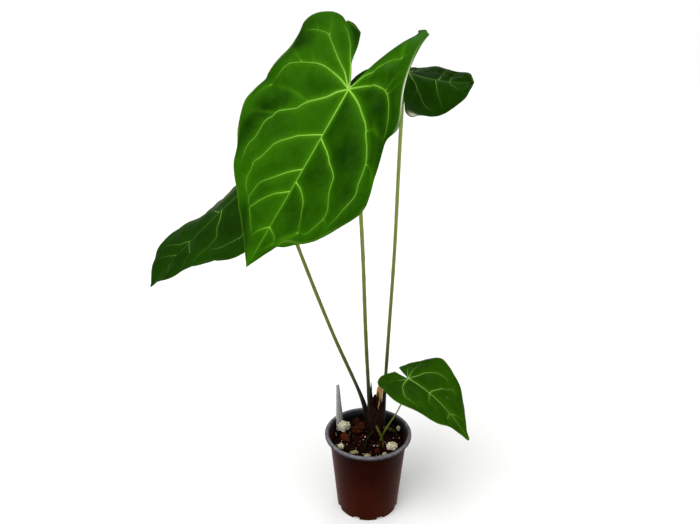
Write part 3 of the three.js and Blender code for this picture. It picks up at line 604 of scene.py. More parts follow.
LEAVES = {
    "1": dict(
        joint=(-23, -60, 509), heading=-153, pitch=-56, roll=-14, length=186, lobe=75, half_width=80,
        droop=-1, twist=6, wave=dict(height=1.6, count=6, phase=40),
        right=half(
            sinus=154, radii=[57, 61, 84, 87, 80, 87, 105, 116, 130, 146, 157, 172], fan=0.66,
            sinus_bow=0, fold=(19, 15, 6), curl=(10, 5, 6), lobe_droop=8,
            bulges=[(0.066, 2.6, -3.5), (0.03, 6, 2.5), (0.231, 10, -2), (0.3, 12, 2.2), (0.406, 6, -3.6),
                    (0.46, 12, 4), (0.58, 9, 2)],
            sinus_bulges=[(0.8, 0.17, -1), (0.42, 0.2, 1.8)], turned_down=(0.1, 4),
            shade=[(0.59, 0.8, 0.045, 0.25, 0.8), (0.65, 0.62, 0.04, 0.3, 0.5), (0.25, 0.95, 0.07, 0.16, 0.7),
                   (0.02, 0.88, 0.03, 0.3, 0.8), (0.9, 0.92, 0.09, 0.2, 0.6), (0.71, 0.4, 0.08, 0.25, -0.3),
                   (0.24, 0.54, 0.12, 0.35, -0.25)],
        ),
        left=half(
            sinus=160, radii=[80, 80, 85, 80, 77, 87, 88, 120, 137, 147, 150, 168], fan=0.66,
            sinus_bow=0, vein_bow=0.3, fold=(2, 9, 5), curl=(35, -16, -5), lobe_droop=32,
            bulges=[(0.02, 13, 6.5), (0.185, 14, 3.2), (0.36, 8, 2), (0.43, 11, -5), (0.55, 16, 4.4),
                    (0.7, 20, 1.5), (0.844, 10, 6), (0.935, 11, -3.2)],
            sinus_bulges=[(1.0, 0.06, -9), (0.87, 0.07, 4)],
            # The pale line along this margin: partly its own pale edge, partly a painted highlight
            pale_margin=(0.28, 0.07, 1, 1.5),
            shade=[(0.6, 0.45, 0.3, 0.8, 0.5), (0.385, 0.6, 0.06, 0.4, 0.4), (0.42, 0.9, 0.07, 0.2, 0.4),
                   (0.17, 0.6, 0.08, 0.5, -0.3)],
        ),
    ),
    "2": dict(
        joint=(-114, -5, 418), heading=-164, pitch=-37, roll=2, length=164, lobe=70, half_width=75,
        droop=11, twist=4, wave=dict(height=1.4, count=5, phase=200),
        right=half(
            sinus=168, radii=[63, 77, 79, 78, 78, 80, 87, 95, 106, 144, 150, 157], fan=0.61,
            fold=(-1, -3, 19), curl=(-3, -11, -9), lobe_droop=10,
            # A painted sheen, grey-green, on the far half
            dust=[(0.6, 0.75, 0.12, 0.4, 0.32)],
        ),
        left=half(
            sinus=166, radii=[64, 75, 77, 76, 76, 81, 92, 102, 108, 130, 145, 154], fan=0.64,
            vein_bow=0.3, fold=(0, -7, 6), curl=(0, -29, -3), lobe_droop=10,
            bulges=[(0.7, 18, 3.6), (0.66, 2.2, -1.4), (0.735, 2, -1.4)],
        ),
    ),
    "3": dict(
        joint=(36, 13, 519), heading=23, pitch=-18, roll=7, length=80, lobe=36, half_width=39,
        droop=-19, twist=-27, wave=dict(height=0.8, count=4, phase=90),
        right=half(
            sinus=167, radii=[33, 40, 41, 42, 46, 46, 48, 53, 58, 65, 70, 75], fan=0.6,
            fold=(-9, -18, -2), curl=(-33, -78, -12), lobe_droop=7,
            bulges=[(0.32, 7, 3), (0.43, 7, 3)],
            pale_margin=(0.44, 0.05, 0.9, 1.7),
        ),
        left=half(
            sinus=168, radii=[40, 56, 48, 42, 41, 42, 47, 53, 59, 65, 76, 78], fan=0.62,
            fold=(0, 11, 8), curl=(-14, -27, -8), lobe_droop=19,
            bulges=[(0.15, 28, 12), (0.93, 7, 4.5), (0.79, 7, -1.2)], turned_down=(0.22, 24),
            shade=[(0.5, 0.5, 0.6, 1.0, 0.6)],
        ),
    ),
    "4": dict(
        joint=(45, -16, 184), heading=-50, pitch=1, roll=0, length=99, lobe=40, half_width=42,
        droop=41, twist=10, wave=dict(height=0.8, count=4, phase=300),
        right=half(
            sinus=174, radii=[20, 30, 35, 36, 37, 43, 51, 58, 64, 74, 80, 89], fan=0.63,
            sinus_bow=0, fold=(-6, 8, 1), curl=(6, -10, -1), lobe_droop=13,
            bulges=[(0.07, 8, 2), (0.98, 4, 2)], turned_down=(0.3, -3),
        ),
        left=half(
            sinus=153, radii=[31, 39, 41, 44, 45, 48, 49, 52, 60, 71, 80, 89], fan=0.6,
            sinus_bow=0.04, fold=(-4, 14, -8), curl=(6, 16, -6), lobe_droop=24,
            bulges=[(0.0, 4, -2), (0.98, 4, 2)],
            dust=[(0.367, 0.6, 0.005, 0.015, 0.9), (0.778, 0.34, 0.005, 0.015, 0.8)],
        ),
    ),
}


# %% The flat heart
def outline(leaf, side):
    """Half of the heart: a curve through the radii at their angles, from the inner corner to the tip."""
    angles = np.radians([leaf[side]["sinus"], *OUTLINE_ANGLES, 0])
    radii = np.array([*leaf[side]["radii"], leaf["length"]])
    return curve_through(np.stack([radii * np.sin(angles), radii * np.cos(angles)], axis=1), spread=0)


def bell(x):
    """A rounded bump: exp(-x^2)."""
    return np.exp(-(x**2))


def flat_point(leaf, side, a, b):
    """The flat place of the shares a and b: a vein starts at the joint, or past the fan on the midrib,
    and ends on the outline. It is a quadratic curve whose middle is pushed towards the lobes by its bow.
    Bulges push its end on by bumps along the margin, or the heart's inner edge aside by bumps along b."""
    half = leaf[side]
    a, b = np.broadcast_arrays(np.asarray(a, float), np.asarray(b, float))
    along = np.clip((a - half["fan"]) / (1 - half["fan"]), 0, 1)
    start = np.stack([0 * along, leaf["length"] * along], axis=-1)
    end = np.where((a < 1)[..., None], at_share(outline(leaf, side), a), start)
    reach = smooth(a / (0.3 * half["fan"]))
    bow = (half["sinus_bow"] + (half["vein_bow"] - half["sinus_bow"]) * reach)[..., None]
    span = end - start
    middle = start + 0.5 * span + bow * np.stack([span[..., 1], -span[..., 0]], axis=-1)
    t = b[..., None]
    point = (1 - t) ** 2 * start + 2 * t * (1 - t) * middle + t**2 * end
    onward = (end - middle) / np.maximum(np.linalg.norm(end - middle, axis=-1, keepdims=True), 1e-6)
    around = 1.75 * leaf["length"]  # roughly the length of half the outline
    push = sum((depth * bell((a - at) * around / width) for at, width, depth in half["bulges"]), 0 * a)
    point = point + (push * b**3)[..., None] * onward
    aside = sum((depth * bell((b - at) / width) for at, width, depth in half["sinus_bulges"]), 0 * b)
    point[..., 0] += aside * bell(a / 0.05) * smooth(b / 0.1)
    point[..., 0] = np.maximum(point[..., 0], np.where(a < 1, 0.4 * b, 0))
    return point


# %% Fold, curl, twist and droop
def stationed(leaf, values, y):
    """A value given at the lobe, the middle and the tip, blended evenly between them at the height y."""
    lobe, mid, tip = values
    middle = 0.3 * leaf["length"]
    low = lobe + (mid - lobe) * smooth((y + leaf["lobe"]) / (middle + leaf["lobe"]))
    return np.where(y < middle, low, mid + (tip - mid) * smooth((y - middle) / (leaf["length"] - middle)))


def bent(leaf, side, flat, lift=0.0):
    """The flat point lifted and bent: a half turns about the midrib by its fold and further out by its
    curl, the section turns with the twist, and the midrib follows an arc by the droop."""
    half = leaf[side]
    x, y = flat[..., 0], flat[..., 1]
    fold = np.radians(stationed(leaf, half["fold"], y))
    curl = np.radians(stationed(leaf, half["curl"], y)) * x / leaf["half_width"] / 2
    arc = np.sinc(curl / np.pi)
    across = SIDES[side] * x * np.cos(fold + curl) * arc
    up = x * np.sin(fold + curl) * arc + lift
    twist = math.radians(leaf["twist"]) * y / leaf["length"]
    out = across * np.cos(twist) - up * np.sin(twist)
    rise = across * np.sin(twist) + up * np.cos(twist)
    fall = -math.radians(leaf["droop"]) * y / leaf["length"]
    hang = math.radians(half["lobe_droop"]) * -y / leaf["lobe"]
    droop = np.where(y > 0, fall, hang)
    reach = y * np.sinc(droop / 2 / np.pi)
    forward = reach * np.cos(droop / 2) - rise * np.sin(droop)
    height = reach * np.sin(droop / 2) + rise * np.cos(droop)
    return np.stack([out, forward, height], axis=-1)


def leaf_axes(leaf):
    """The leaf's own directions in the world, as rows: to its right, to its tip and up from its face."""
    h, p, r = np.radians([leaf["heading"], leaf["pitch"], leaf["roll"]])
    tip = np.array([np.cos(h) * np.cos(p), np.sin(h) * np.cos(p), np.sin(p)])
    level = np.array([np.sin(h), -np.cos(h), 0])
    upright = np.cross(level, tip)
    right = level * np.cos(r) - upright * np.sin(r)
    up = level * np.sin(r) + upright * np.cos(r)
    return np.stack([right, tip, up])


def placed(leaf, points):
    """Points in the leaf's own frame, in the world."""
    return points @ leaf_axes(leaf) + np.array(leaf["joint"], float)


def face_normal(leaf, side, flat):
    """The direction square to the bent face, from the steps across and along it. On the midrib it is the
    mean of both halves, so that they meet there."""
    step_out, step_on = np.array([0.5, 0.0]), np.array([0.0, 0.5])
    normals = {}
    for each, sign in SIDES.items():
        out = bent(leaf, each, flat + step_out) - bent(leaf, each, flat)
        on = bent(leaf, each, flat + step_on) - bent(leaf, each, flat - step_on)
        square = sign * np.cross(out, on)
        normals[each] = square / np.linalg.norm(square, axis=-1, keepdims=True)
    shared = normals["right"] + normals["left"]
    normal = np.where((flat[..., :1] < 0.05), shared, normals[side])
    return normal / np.linalg.norm(normal, axis=-1, keepdims=True)


# %% [markdown]
# ### Veins
# The midrib and the main veins of a real leaf of this kind leave the joint or the midrib, sweep out in a
# curve and turn towards the tip near the margin, where they meet. Their courses are read off the
# photograph as pixels, and each pixel is carried back onto the leaf that shows there. Stretches that
# the photograph hides are given by shares of the leaf instead.

# %% Vein values
# A vein is its root, its width at the root in millimetres, and its course: pixels, each as across and
# down. The root is "joint", a pixel on the midrib, or None for a branch. Where the photograph hides a
# vein, the root is a share of the midrib, and the course is the share of the margin at which it ends.
VEINS_SEEN = {
    "1": {
        "right": [
            ("joint", 1.6, [350.2, 74, 350.2, 62.8, 349.9, 51.5, 349.5, 40.2, 347, 30.2, 343.6, 23.4]),
            ("joint", 2.0, [344.9, 74, 340.5, 64, 336.5, 54, 332.8, 43.4, 330.5, 36.8, 326.8, 33.4,
                320.5, 30.9, 314.2, 30, 307.4, 30.2]),
            (None, 1.1, [330.5, 36.8, 331.5, 31.5, 333, 25.2, 333, 17.1]),
            (None, 0.6, [318.6, 30.5, 318.2, 27.1, 318, 24]),
            ("joint", 2.2, [340.5, 79, 334.2, 73.4, 326.8, 67.8, 319.2, 64.6, 313, 62.8, 301.8, 62.1,
                294.2, 64, 288, 67.1, 281.8, 72.1, 276.8, 76.5, 271.1, 84.2]),
            (None, 0.9, [301.8, 61.9, 299.2, 57.8, 296.8, 52.1, 293, 48.4]),
            (None, 0.6, [313.4, 61.5, 313.6, 55.2, 312, 50.2]),
            (None, 0.9, [271.1, 84.2, 265.5, 88, 260.5, 94, 256.1, 100.9]),
            (None, 1.0, [307, 100.9, 299.2, 95.2, 293, 91.5, 285.5, 88.4, 278, 86.5, 271.1, 84.2]),
            ("joint", 2.4, [338, 92.1, 328, 96.5, 318, 99.2, 308, 102.1, 301.8, 105.9, 295.5, 108.8,
                288, 110.2, 279.2, 111.5, 274.2, 114.6, 269.2, 119, 264.2, 124.6, 259.2, 131.5, 254.9,
                138.4, 250.5, 142.5, 246.8, 148.8, 243, 161.2]),
            (None, 0.8, [277, 112.6, 269.2, 111.8, 260.5, 111.5, 253, 111.5, 249.5, 115.2]),
            ((322.6, 134.7), 1.7, [313, 135, 303, 135.6, 293, 137.5, 283, 141.2, 274.2, 146.2, 266.8,
                151.2, 260.5, 156.2, 255.5, 161.2, 251.1, 168.8, 246.5, 176.2, 245.2, 186.2, 249.2, 196.9]),
            (None, 0.5, [246.5, 176.5, 242, 175]),
            ((302.6, 169), 1.4, [295.5, 170.6, 288, 172.5, 278, 176.2, 269.2, 179.4, 260.5, 183.1,
                254.9, 188.1, 251.1, 193.1, 249.2, 196.9, 250.5, 203.8, 251.5, 208.1]),
            ((290.6, 192.1), 1.2, [284.2, 192.2, 276.8, 193.1, 269.2, 195.6, 263, 198.8, 258, 202.5,
                253.6, 206.2, 251.5, 208.1, 250.8, 215, 251, 225, 251.5, 235]),
            ((270, 227.3), 0.9, [265.5, 228.1, 260.5, 229.4, 255.5, 231.9, 251.5, 235.2]),
        ],
        "left": [
            ("joint", 2.0, [360.5, 79.6, 370.5, 73, 380.5, 67.1, 390.5, 61.8, 400.5, 57.8, 408, 57.8]),
            (None, 1.2, [400.5, 57.8, 406.8, 47.8, 413, 41.5, 419.9, 36.2]),
            ("joint", 2.2, [360.5, 87.1, 368, 86.2, 375.5, 86.5, 380.5, 88, 384.9, 90.5, 387, 95.2,
                388.6, 102.8, 389.2, 111.5, 388.6, 120.2, 387.4, 126.5, 385.5, 132.8, 382.5, 138.8]),
            (None, 0.8, [385.8, 90.5, 390.5, 84, 396.8, 77.8, 402, 74]),
            (None, 0.7, [386.8, 93, 393, 89.2, 400.5, 84]),
            ("joint", 2.4, [355.5, 99, 359.2, 106.5, 362.4, 115.2, 364.5, 122.8, 365.8, 130.2, 366.2,
                138.8, 366.2, 152.5, 365.2, 162.5, 362, 172.5, 358.8, 182.5, 355.5, 193.8, 350.5, 202.5,
                344.2, 210.6, 336.8, 218.8, 328, 227.2]),
            (None, 0.9, [366.5, 130.9, 371.8, 130.2, 376.8, 132.8, 380.2, 137.1, 382, 140.9]),
            (None, 0.8, [365.5, 164, 369.9, 167.5, 372.4, 173.8, 373.2, 181.2, 371.8, 188.8]),
            ((322.8, 139), 1.7, [326.1, 150, 329.2, 160, 331.1, 170, 331.5, 180, 330.8, 190, 329, 200,
                326.1, 208.8, 321.1, 217.9, 315.5, 225, 309.2, 231.2, 304.2, 234, 298.8, 232.8]),
            (None, 0.7, [321.1, 218.1, 324.2, 222.5, 328, 227.2]),
            ((298.4, 183), 1.4, [301.1, 190, 302.8, 198.8, 302.4, 207.5, 301.1, 217.5, 299.9, 226.2,
                298.8, 232.8]),
            (None, 1.0, [298.8, 232.8, 290.5, 237.5, 283, 240.6, 273, 244, 266.8, 247.5, 259.2, 251.2,
                253.6, 255]),
            ((270.8, 227.8), 0.9, [273.2, 233.8, 274, 238.8, 273, 243.8]),
        ],
    },
    "2": {
        "right": [
            ((218.5, 211.5), 1.3, [211.3, 212.5, 204.7, 216.7, 197.2, 220.4]),
            ((192.5, 243), 1.1, [186.3, 242.1, 179.7, 244.2, 173.8, 245.4, 168, 246.7, 164.2, 247.1]),
            (None, 0.8, [183, 229.2, 179.7, 234.2, 175.5, 238.3, 170.1, 242.9]),
        ],
        "left": [
            ((221.5, 209.5), 1.4, [220.7, 216.7, 218.8, 224.2, 216.3, 233.3, 213, 240.8, 208, 249.2,
                201.3, 255, 194.7, 260, 188.4, 264.3]),
            ("joint", 2.2, [243.8, 230.8, 239.7, 235.8, 235.5, 238.3, 230.5, 242.1, 225.5, 246.2, 219.7,
                248.8, 213, 251.7, 212.2, 254.2]),
            (None, 0.7, [237.8, 237, 239.7, 241.5]),
            ((191.5, 245), 1.0, [188.8, 254.2, 186.3, 260, 183.8, 265.8, 180.5, 268.3]),
        ],
    },
    "3": {
        "right": [
            ("joint", 1.5, [412.7, 79.5, 415.5, 83.6, 417.3, 89.5, 419.1, 93.6, 421.4, 99.1, 423.6,
                103.6, 427.3, 106.8, 433.2, 110.5]),
            (None, 0.8, [416.8, 90, 413.6, 95.5, 411.4, 100, 409.1, 102.3]),
            ((435.4, 81), 1.0, [436.4, 87.3, 437.5, 94.5, 439.5, 100, 441.4, 105.5, 442.9, 109.1]),
        ],
        "left": [
            ("joint", 1.2, [414.5, 71.4, 421.8, 70.5, 428.2, 69.1, 433.6, 68.4]),
            ((438, 80.5), 0.8, [446.4, 71.6, 450, 72.7, 454.5, 74.1, 457.3, 74]),
        ],
    },
    "4": {
        "right": [
            ("joint", 1.2, [402.7, 380.2, 397, 380.9, 391.3, 382.4, 389, 383.6]),
            ("joint", 1.5, [404.1, 383.4, 402.7, 387, 403.1, 391.3, 404.1, 394.9, 406.3, 398.4, 409.9,
                401.3, 414.1, 403.8, 417.7, 406.3, 420.9, 407.9]),
            ((429.6, 392.4), 0.8, [429.1, 397.7, 428.8, 400.6, 428.4, 403.6]),
        ],
        "left": [
            ("joint", 1.0, [407.7, 373.4, 408.4, 367.7, 409.9, 365.6]),
            ("joint", 1.2, [412, 372, 415.6, 367.7, 419.1, 364.9, 423.8, 362.7]),
            ("joint", 1.5, [415.6, 376.3, 420.6, 374.5, 424.9, 373.1, 429.1, 372.4, 434.1, 372.7, 438.4,
                374.1, 442.7, 376.3, 446.3, 379.1, 449, 382.9]),
            ((430, 392.6), 1.0, [432.7, 390.9, 437.7, 389.9, 443.4, 388.8, 448.4, 388.8, 452, 389.5,
                454.1, 392, 456.4, 394.3]),
        ],
    },
}
VEINS_HIDDEN = {
    "1": {"right": [], "left": []},
    "2": {
        "right": [("joint", 1.6, 0.13), ("joint", 1.7, 0.27), ("joint", 1.8, 0.43), (0.74, 0.7, 0.9)],
        "left": [("joint", 1.6, 0.13), ("joint", 1.7, 0.27), (0.78, 0.7, 0.92)],
    },
    "3": {
        "right": [("joint", 0.9, 0.2), (0.62, 0.6, 0.86)],
        "left": [("joint", 0.9, 0.2), ("joint", 1.0, 0.4), (0.64, 0.6, 0.88)],
    },
    "4": {"right": [(0.66, 0.5, 0.87)], "left": [(0.68, 0.5, 0.88)]},
}
# A midrib's width at the joint, and how pale it is
MIDRIBS = {"1": (2.3, 1.0), "2": (2.0, 0.5), "3": (1.4, 0.65), "4": (1.6, 1.0)}


# %% Reading pixels back onto a leaf
def shares_seen(leaf, side, pixels):
    """The shares a and b that the camera sees at pixels: the nearest point of a grid over the half, and
    then a few steps that divide the miss by how far a pixel moves with each share."""
    a, b = np.meshgrid(np.linspace(0, 1, 161), np.linspace(0, 1, 61), indexing="ij")
    seen = photo_pixel(placed(leaf, bent(leaf, side, flat_point(leaf, side, a, b))))
    target = np.reshape(pixels, (-1, 2)).astype(float)
    miss = np.linalg.norm(seen.reshape(-1, 1, 2) - target, axis=2)
    nearest = miss.argmin(axis=0)
    shares = np.stack([a.ravel()[nearest], b.ravel()[nearest]], axis=1)

    def pixel_of(s):
        return photo_pixel(placed(leaf, bent(leaf, side, flat_point(leaf, side, s[:, 0], s[:, 1]))))

    nudge = 0.002
    for _ in range(4):
        here = pixel_of(shares)
        by_a = (pixel_of(shares + [nudge, 0]) - here) / nudge
        by_b = (pixel_of(shares + [0, nudge]) - here) / nudge
        slope = np.stack([by_a, by_b], axis=2) + 1e-6 * np.eye(2)
        step = np.linalg.solve(slope, (target - here)[:, :, None])[:, :, 0]
        shares = np.clip(shares + np.clip(step, -0.03, 0.03), [0, 0], [0.999, 1])
    return shares


def midrib_share(leaf, root):
    """The share of the midrib's length at a root: the root itself if it is a share, the point of the
    midrib that the camera sees nearest to it if it is a pixel, and nothing if it is the joint."""
    if root == "joint":
        return 0
    if isinstance(root, float):
        return root
    share = np.linspace(0, 1, 400)
    line = placed(leaf, bent(leaf, "right", np.stack([0 * share, leaf["length"] * share], axis=1)))
    return share[np.linalg.norm(photo_pixel(line) - root, axis=1).argmin()]


def vein_course(leaf, side, root, course):
    """A vein's points as x, y, a and b on the flat leaf, about a millimetre apart. Its first point lies
    on the midrib, and the rest follow the course."""
    fan = leaf[side]["fan"]
    start = None if root is None else midrib_share(leaf, root)
    if isinstance(course, float):
        out = np.linspace(0, 0.93, 12)[1:]
        first = course if root == "joint" else fan + start * (1 - fan)
        shares = np.stack([first + (course - first) * smooth(1.6 * out), out], axis=1)
    else:
        shares = shares_seen(leaf, side, course)
    if start is not None:
        first = shares[0, 0] if root == "joint" else fan + start * (1 - fan)
        shares = np.concatenate([[[first, 0.0]], shares])
    flat = flat_point(leaf, side, shares[:, 0], shares[:, 1])
    if start is not None:
        flat[0] = (0, start * leaf["length"])
    curve = curve_through(np.concatenate([flat, shares], axis=1))
    length = np.linalg.norm(np.diff(curve[1][:, :2], axis=0), axis=1).sum()
    line = at_share(curve, np.linspace(0, 1, max(6, int(length / 1.2))))
    line[:, 0] = np.maximum(line[:, 0], 0)
    return line


# %% All veins of a half, and how far a point is from them
def veins_of(name, side):
    """Every vein of a half as its width at the root, its width at its end, its strength and its points.
    The midrib, which both halves share, is the first."""
    leaf = LEAVES[name]
    fan = leaf[side]["fan"]
    share = np.linspace(0, 0.985, 120)
    midrib = np.stack([0 * share, leaf["length"] * share, fan + share * (1 - fan), 0 * share], axis=1)
    root_width, paleness = MIDRIBS[name]
    veins = [dict(line=midrib, root=root_width, end=0.3 * root_width, strength=paleness, main=True)]
    for root, width, course in VEINS_SEEN[name][side] + VEINS_HIDDEN[name][side]:
        main = root is not None
        line = vein_course(leaf, side, root, course)
        strength = 1.0 if main else 0.75
        veins.append(dict(line=line, root=width, end=0.35 * width, strength=strength, main=main))
    return veins


def nearest_vein(veins, flat):
    """For each flat point, the distance in millimetres to the nearest vein's edge, and the glow beside
    veins: their strength, which falls off along each vein and with the distance from it."""
    points = flat.reshape(-1, 2)
    distance = np.full(len(points), 1e3)
    glow = np.zeros(len(points))
    for vein in veins:
        line = vein["line"][:, :2]
        share = np.linspace(0, 1, len(line))
        width = vein["root"] + (vein["end"] - vein["root"]) * share
        away = np.linalg.norm(points[:, None] - line[None], axis=2)
        nearest = away.argmin(axis=1)
        gap = np.maximum(away[np.arange(len(points)), nearest] - width[nearest] / 2, 0)
        if vein["main"]:
            distance = np.minimum(distance, gap)
        strength = vein["strength"] * (1 - 0.75 * share[nearest])
        glow = np.maximum(glow, strength * np.exp(-gap / (0.9 * vein["root"] + 0.6)))
    return distance.reshape(flat.shape[:-1]), glow.reshape(flat.shape[:-1])


# %% [markdown]
# ### Blades
# Each half is a grid over its two shares, dense enough to carry the waves of the margin and the pillows
# that the blade swells into between its veins. The upper and the under face lie half a thickness off
# the middle, and strips along the margin close the leaf. Both halves use the same points on the midrib.

# %% Blade surface
THICKNESS = 0.6
PILLOW = 2.6  # how far the largest leaf swells between its veins
PILLOW_REACH = 9  # how far from a vein the swelling is complete


def uneven(leaf, side, a, b):
    """Puckers of the blade: random waves about 28 and 12 mm long on the flat leaf, none on the midrib and
    few at the margin."""
    size = leaf["half_width"] / LEAVES["1"]["half_width"]
    place = flat_point(leaf, side, a, b) * [SIDES[side], 1] / size
    puckers = 1.0 * ripple(place, 28, 31) + 0.28 * ripple(place, 12, 32)
    return size * puckers * smooth(b / 0.4) * smooth(10 * a) * (1 - 0.8 * smooth((b - 0.7) / 0.3))


def lift_of(leaf, side, a, b, distance):
    """Waves of the margin, height * b^3 * sin(count turns of a), eased to nothing at the inner corner and
    the tip, and the pillow between veins, which starts flat at a vein and levels off away from it. A
    turned-down lobe sinks by depth * b^2, more and more towards the inner edge."""
    wave = leaf["wave"]
    swing = np.sin(2 * np.pi * wave["count"] * a + math.radians(wave["phase"]))
    ease = np.clip(np.minimum(8 * a, 8 * (1 - a)), 0, 1)
    size = leaf["half_width"] / LEAVES["1"]["half_width"]
    pillow = PILLOW * size * (1 - np.exp(-((distance / (PILLOW_REACH * size)) ** 2)))
    pillow = pillow * smooth(b / 0.03) * smooth((1 - b) / 0.2) * smooth(12 * a) * smooth(12 * (1 - a))
    share, depth = leaf[side]["turned_down"]
    turned = depth * np.clip((share - a) / max(share, 0.01), 0, 1) ** 2 * b**2
    return wave["height"] * b**3 * swing * ease + pillow - turned + uneven(leaf, side, a, b)


def spots(marks, a, b):
    """A sum of rounded spots, each given as its share a, its share b, its reach in a and in b, and its
    strength, up to 1."""
    total = 0 * a
    for at, out, far, wide, strength in marks:
        total = total + strength * bell((a - at) / far) * bell((b - out) / wide)
    return np.clip(total, -1, 1)


def blade_half(name, side, fan_rows, midrib_rows, columns):
    """Half a blade: the flat half over its two shares, bent and lifted, with a face half a thickness to
    either side along its normals. The tags are distances, spots of painted shade and painted light, and
    spots of dust and painted sheen, which the leaf's finish reads."""
    leaf = LEAVES[name]
    fan = leaf[side]["fan"]
    fan_shares = fan * np.linspace(0, 1, fan_rows + 1) ** 1.3  # closer together at the inner corner
    rows = np.concatenate([fan_shares, fan + (1 - fan) * np.linspace(0, 1, midrib_rows + 1)[1:]])
    a, b = np.meshgrid(rows, np.linspace(0, 1, columns + 1), indexing="ij")
    flat = flat_point(leaf, side, a, b)
    distance, glow = nearest_vein(veins_of(name, side), flat)
    middle = bent(leaf, side, flat, lift_of(leaf, side, a, b, distance))
    normal = face_normal(leaf, side, flat)
    half = THICKNESS / 2 * (1 - 0.5 * smooth((b - 0.96) / 0.04))[..., None]
    upper = placed(leaf, middle + half * normal)
    under = placed(leaf, middle - half * normal)
    margin = at_share(outline(leaf, side), rows)[:, None]
    to_margin = np.minimum(np.linalg.norm(flat - margin, axis=2), np.where(a < 0.5, flat[..., 0] + 2, 1e3))
    at, width, strength, reach = leaf[side]["pale_margin"]
    pale = strength * bell((a - at) / width)
    rim = (0.4 + 0.6 * pale) * bell(to_margin / (0.9 + (reach - 0.9) * pale))
    tags = dict(halo=0.8 * glow, rim=rim, pale=pale, flat=flat * [SIDES[side], 1])
    tags["shade"] = spots(leaf[side]["shade"], a, b)
    tags["dust"] = spots(leaf[side]["dust"], a, b)
    shape = slab(upper, under, edges=("start", "last"), **tags)
    if side == "left":
        shape["faces"] = shape["faces"][:, ::-1]
    return shape


# %% [markdown]
# ### Raised veins
# A vein is a tube flattened against the blade and half sunk in it. It tapers from its root to its end.
# Above it stands out only a little. Below, the midrib and the main veins are round ribs that carry the
# blade, as on the solids.

# %% Vein tubes
VEIN_HEIGHT = 0.22  # of a vein over the upper face, as a share of its width
RIB_HEIGHT = 0.5  # of a rib to either side of its middle, as a share of its width
RIB_SWELL = 1.25  # a rib is wider than its vein
RIB_SUNK = 0.5  # the rib's middle under the blade's, as a share of the vein's width


def vein_tube(leaf, side, vein, under):
    """A flattened tube along a vein, over the blade or under it. Its width goes evenly from root to end
    and closes over the last twelfth. The tag fade is strength * (1 - 0.85 * the root of the share)."""
    line = vein["line"]
    share = np.linspace(0, 1, len(line))
    width = vein["root"] + (vein["end"] - vein["root"]) * share
    width = 0.88 * width * np.clip(np.minimum(1, 12 * (1 - share) + 0.15), 0, 1)
    flat, a, b = line[:, :2], line[:, 2], line[:, 3]
    middle = bent(leaf, side, flat, lift_of(leaf, side, a, b, 0 * a))
    normal = face_normal(leaf, side, flat)
    sunk = -RIB_SUNK * width[:, None] if under else THICKNESS / 2 - 0.05
    path = placed(leaf, middle + sunk * normal)
    up = normal @ leaf_axes(leaf)
    across = np.cross(np.gradient(path, axis=0), up)
    across /= np.linalg.norm(across, axis=1, keepdims=True)
    height, swell = (RIB_HEIGHT, RIB_SWELL) if under else (VEIN_HEIGHT, 1.0)
    fade = vein["strength"] * (1 - 0.85 * np.sqrt(share))
    return tube(path, swell * width / 2, sides=10, across=across, up=up, flat=2 * height, fade=fade)


# %% The four leaves
LEAF_GRIDS = {"1": (170, 120, 70), "2": (120, 110, 60), "3": (70, 70, 40), "4": (80, 80, 44)}
# The tone each leaf wears: partly its own green, partly painted light and shade
LEAF_FINISH = {"1": "bright", "2": "dark", "3": "dark", "4": "mid"}

for name, leaf in LEAVES.items():
    finish = LEAF_FINISH[name]
    halves = [blade_half(name, side, *LEAF_GRIDS[name]) for side in SIDES]
    add_piece(f"leaf_{name}", joined(halves), FINISH[f"leaf_{finish}"], [f"blade_{name}"])
    tubes, ribs = [], []
    for side in SIDES:
        for number, vein in enumerate(veins_of(name, side)):
            if number == 0 and side == "left":
                continue
            tubes.append(vein_tube(leaf, side, vein, under=False))
            if vein["main"]:
                ribs.append(vein_tube(leaf, side, vein, under=True))
    add_piece(f"leaf_{name}_veins", joined(tubes), FINISH[f"vein_{finish}"], crease=80)
    add_piece(f"leaf_{name}_ribs", joined(ribs), FINISH["rib"], crease=80)

# %% [markdown]
# ## Petioles
# A petiole is a slender round stalk. It is widest where its base clasps the stem, and just under the
# blade it thickens into a knee, the joint by which the leaf turns to the light. The route is the one of
# the solids. A very slight unevenness keeps the stalks from looking like wire.

# %% Petioles
MIX_TOP = 90
KNEE = 16
KNEE_SHIFT = 2
SHEATHED = 60  # the foot's stretch over which a petiole thins
PETIOLES = {
    "1": dict(
        route=[(4, -6, 112), (1, -2, 146), (-4, -2, 233), (-8, -10, 330), (-12, -20, 400), (-16, -34, 465)],
        radii=(2.8, 1.7, 2.3), young=0, stout=1.24,
    ),
    "2": dict(
        route=[(1, 4, 110), (-6.6, 1, 144), (-42, -2, 236), (-78, 2, 336), (-94, 10, 382)],
        radii=(3.2, 1.7, 2.2), young=0, stout=1.2,
    ),
    "3": dict(
        route=[(16.5, 3, 104), (18, 4, 129), (22.5, 6, 229), (27, 8, 330), (29.5, 11, 426), (31, 13, 474)],
        radii=(3.1, 1.6, 1.9), young=0, stout=1.26,
    ),
    "4": dict(
        route=[(13, -9, 92), (20, -8, 109), (33.6, -9, 135), (42, -12, 158)],
        radii=(1.9, 1.2, 1.4), young=0.32, stout=0.62,
    ),
}


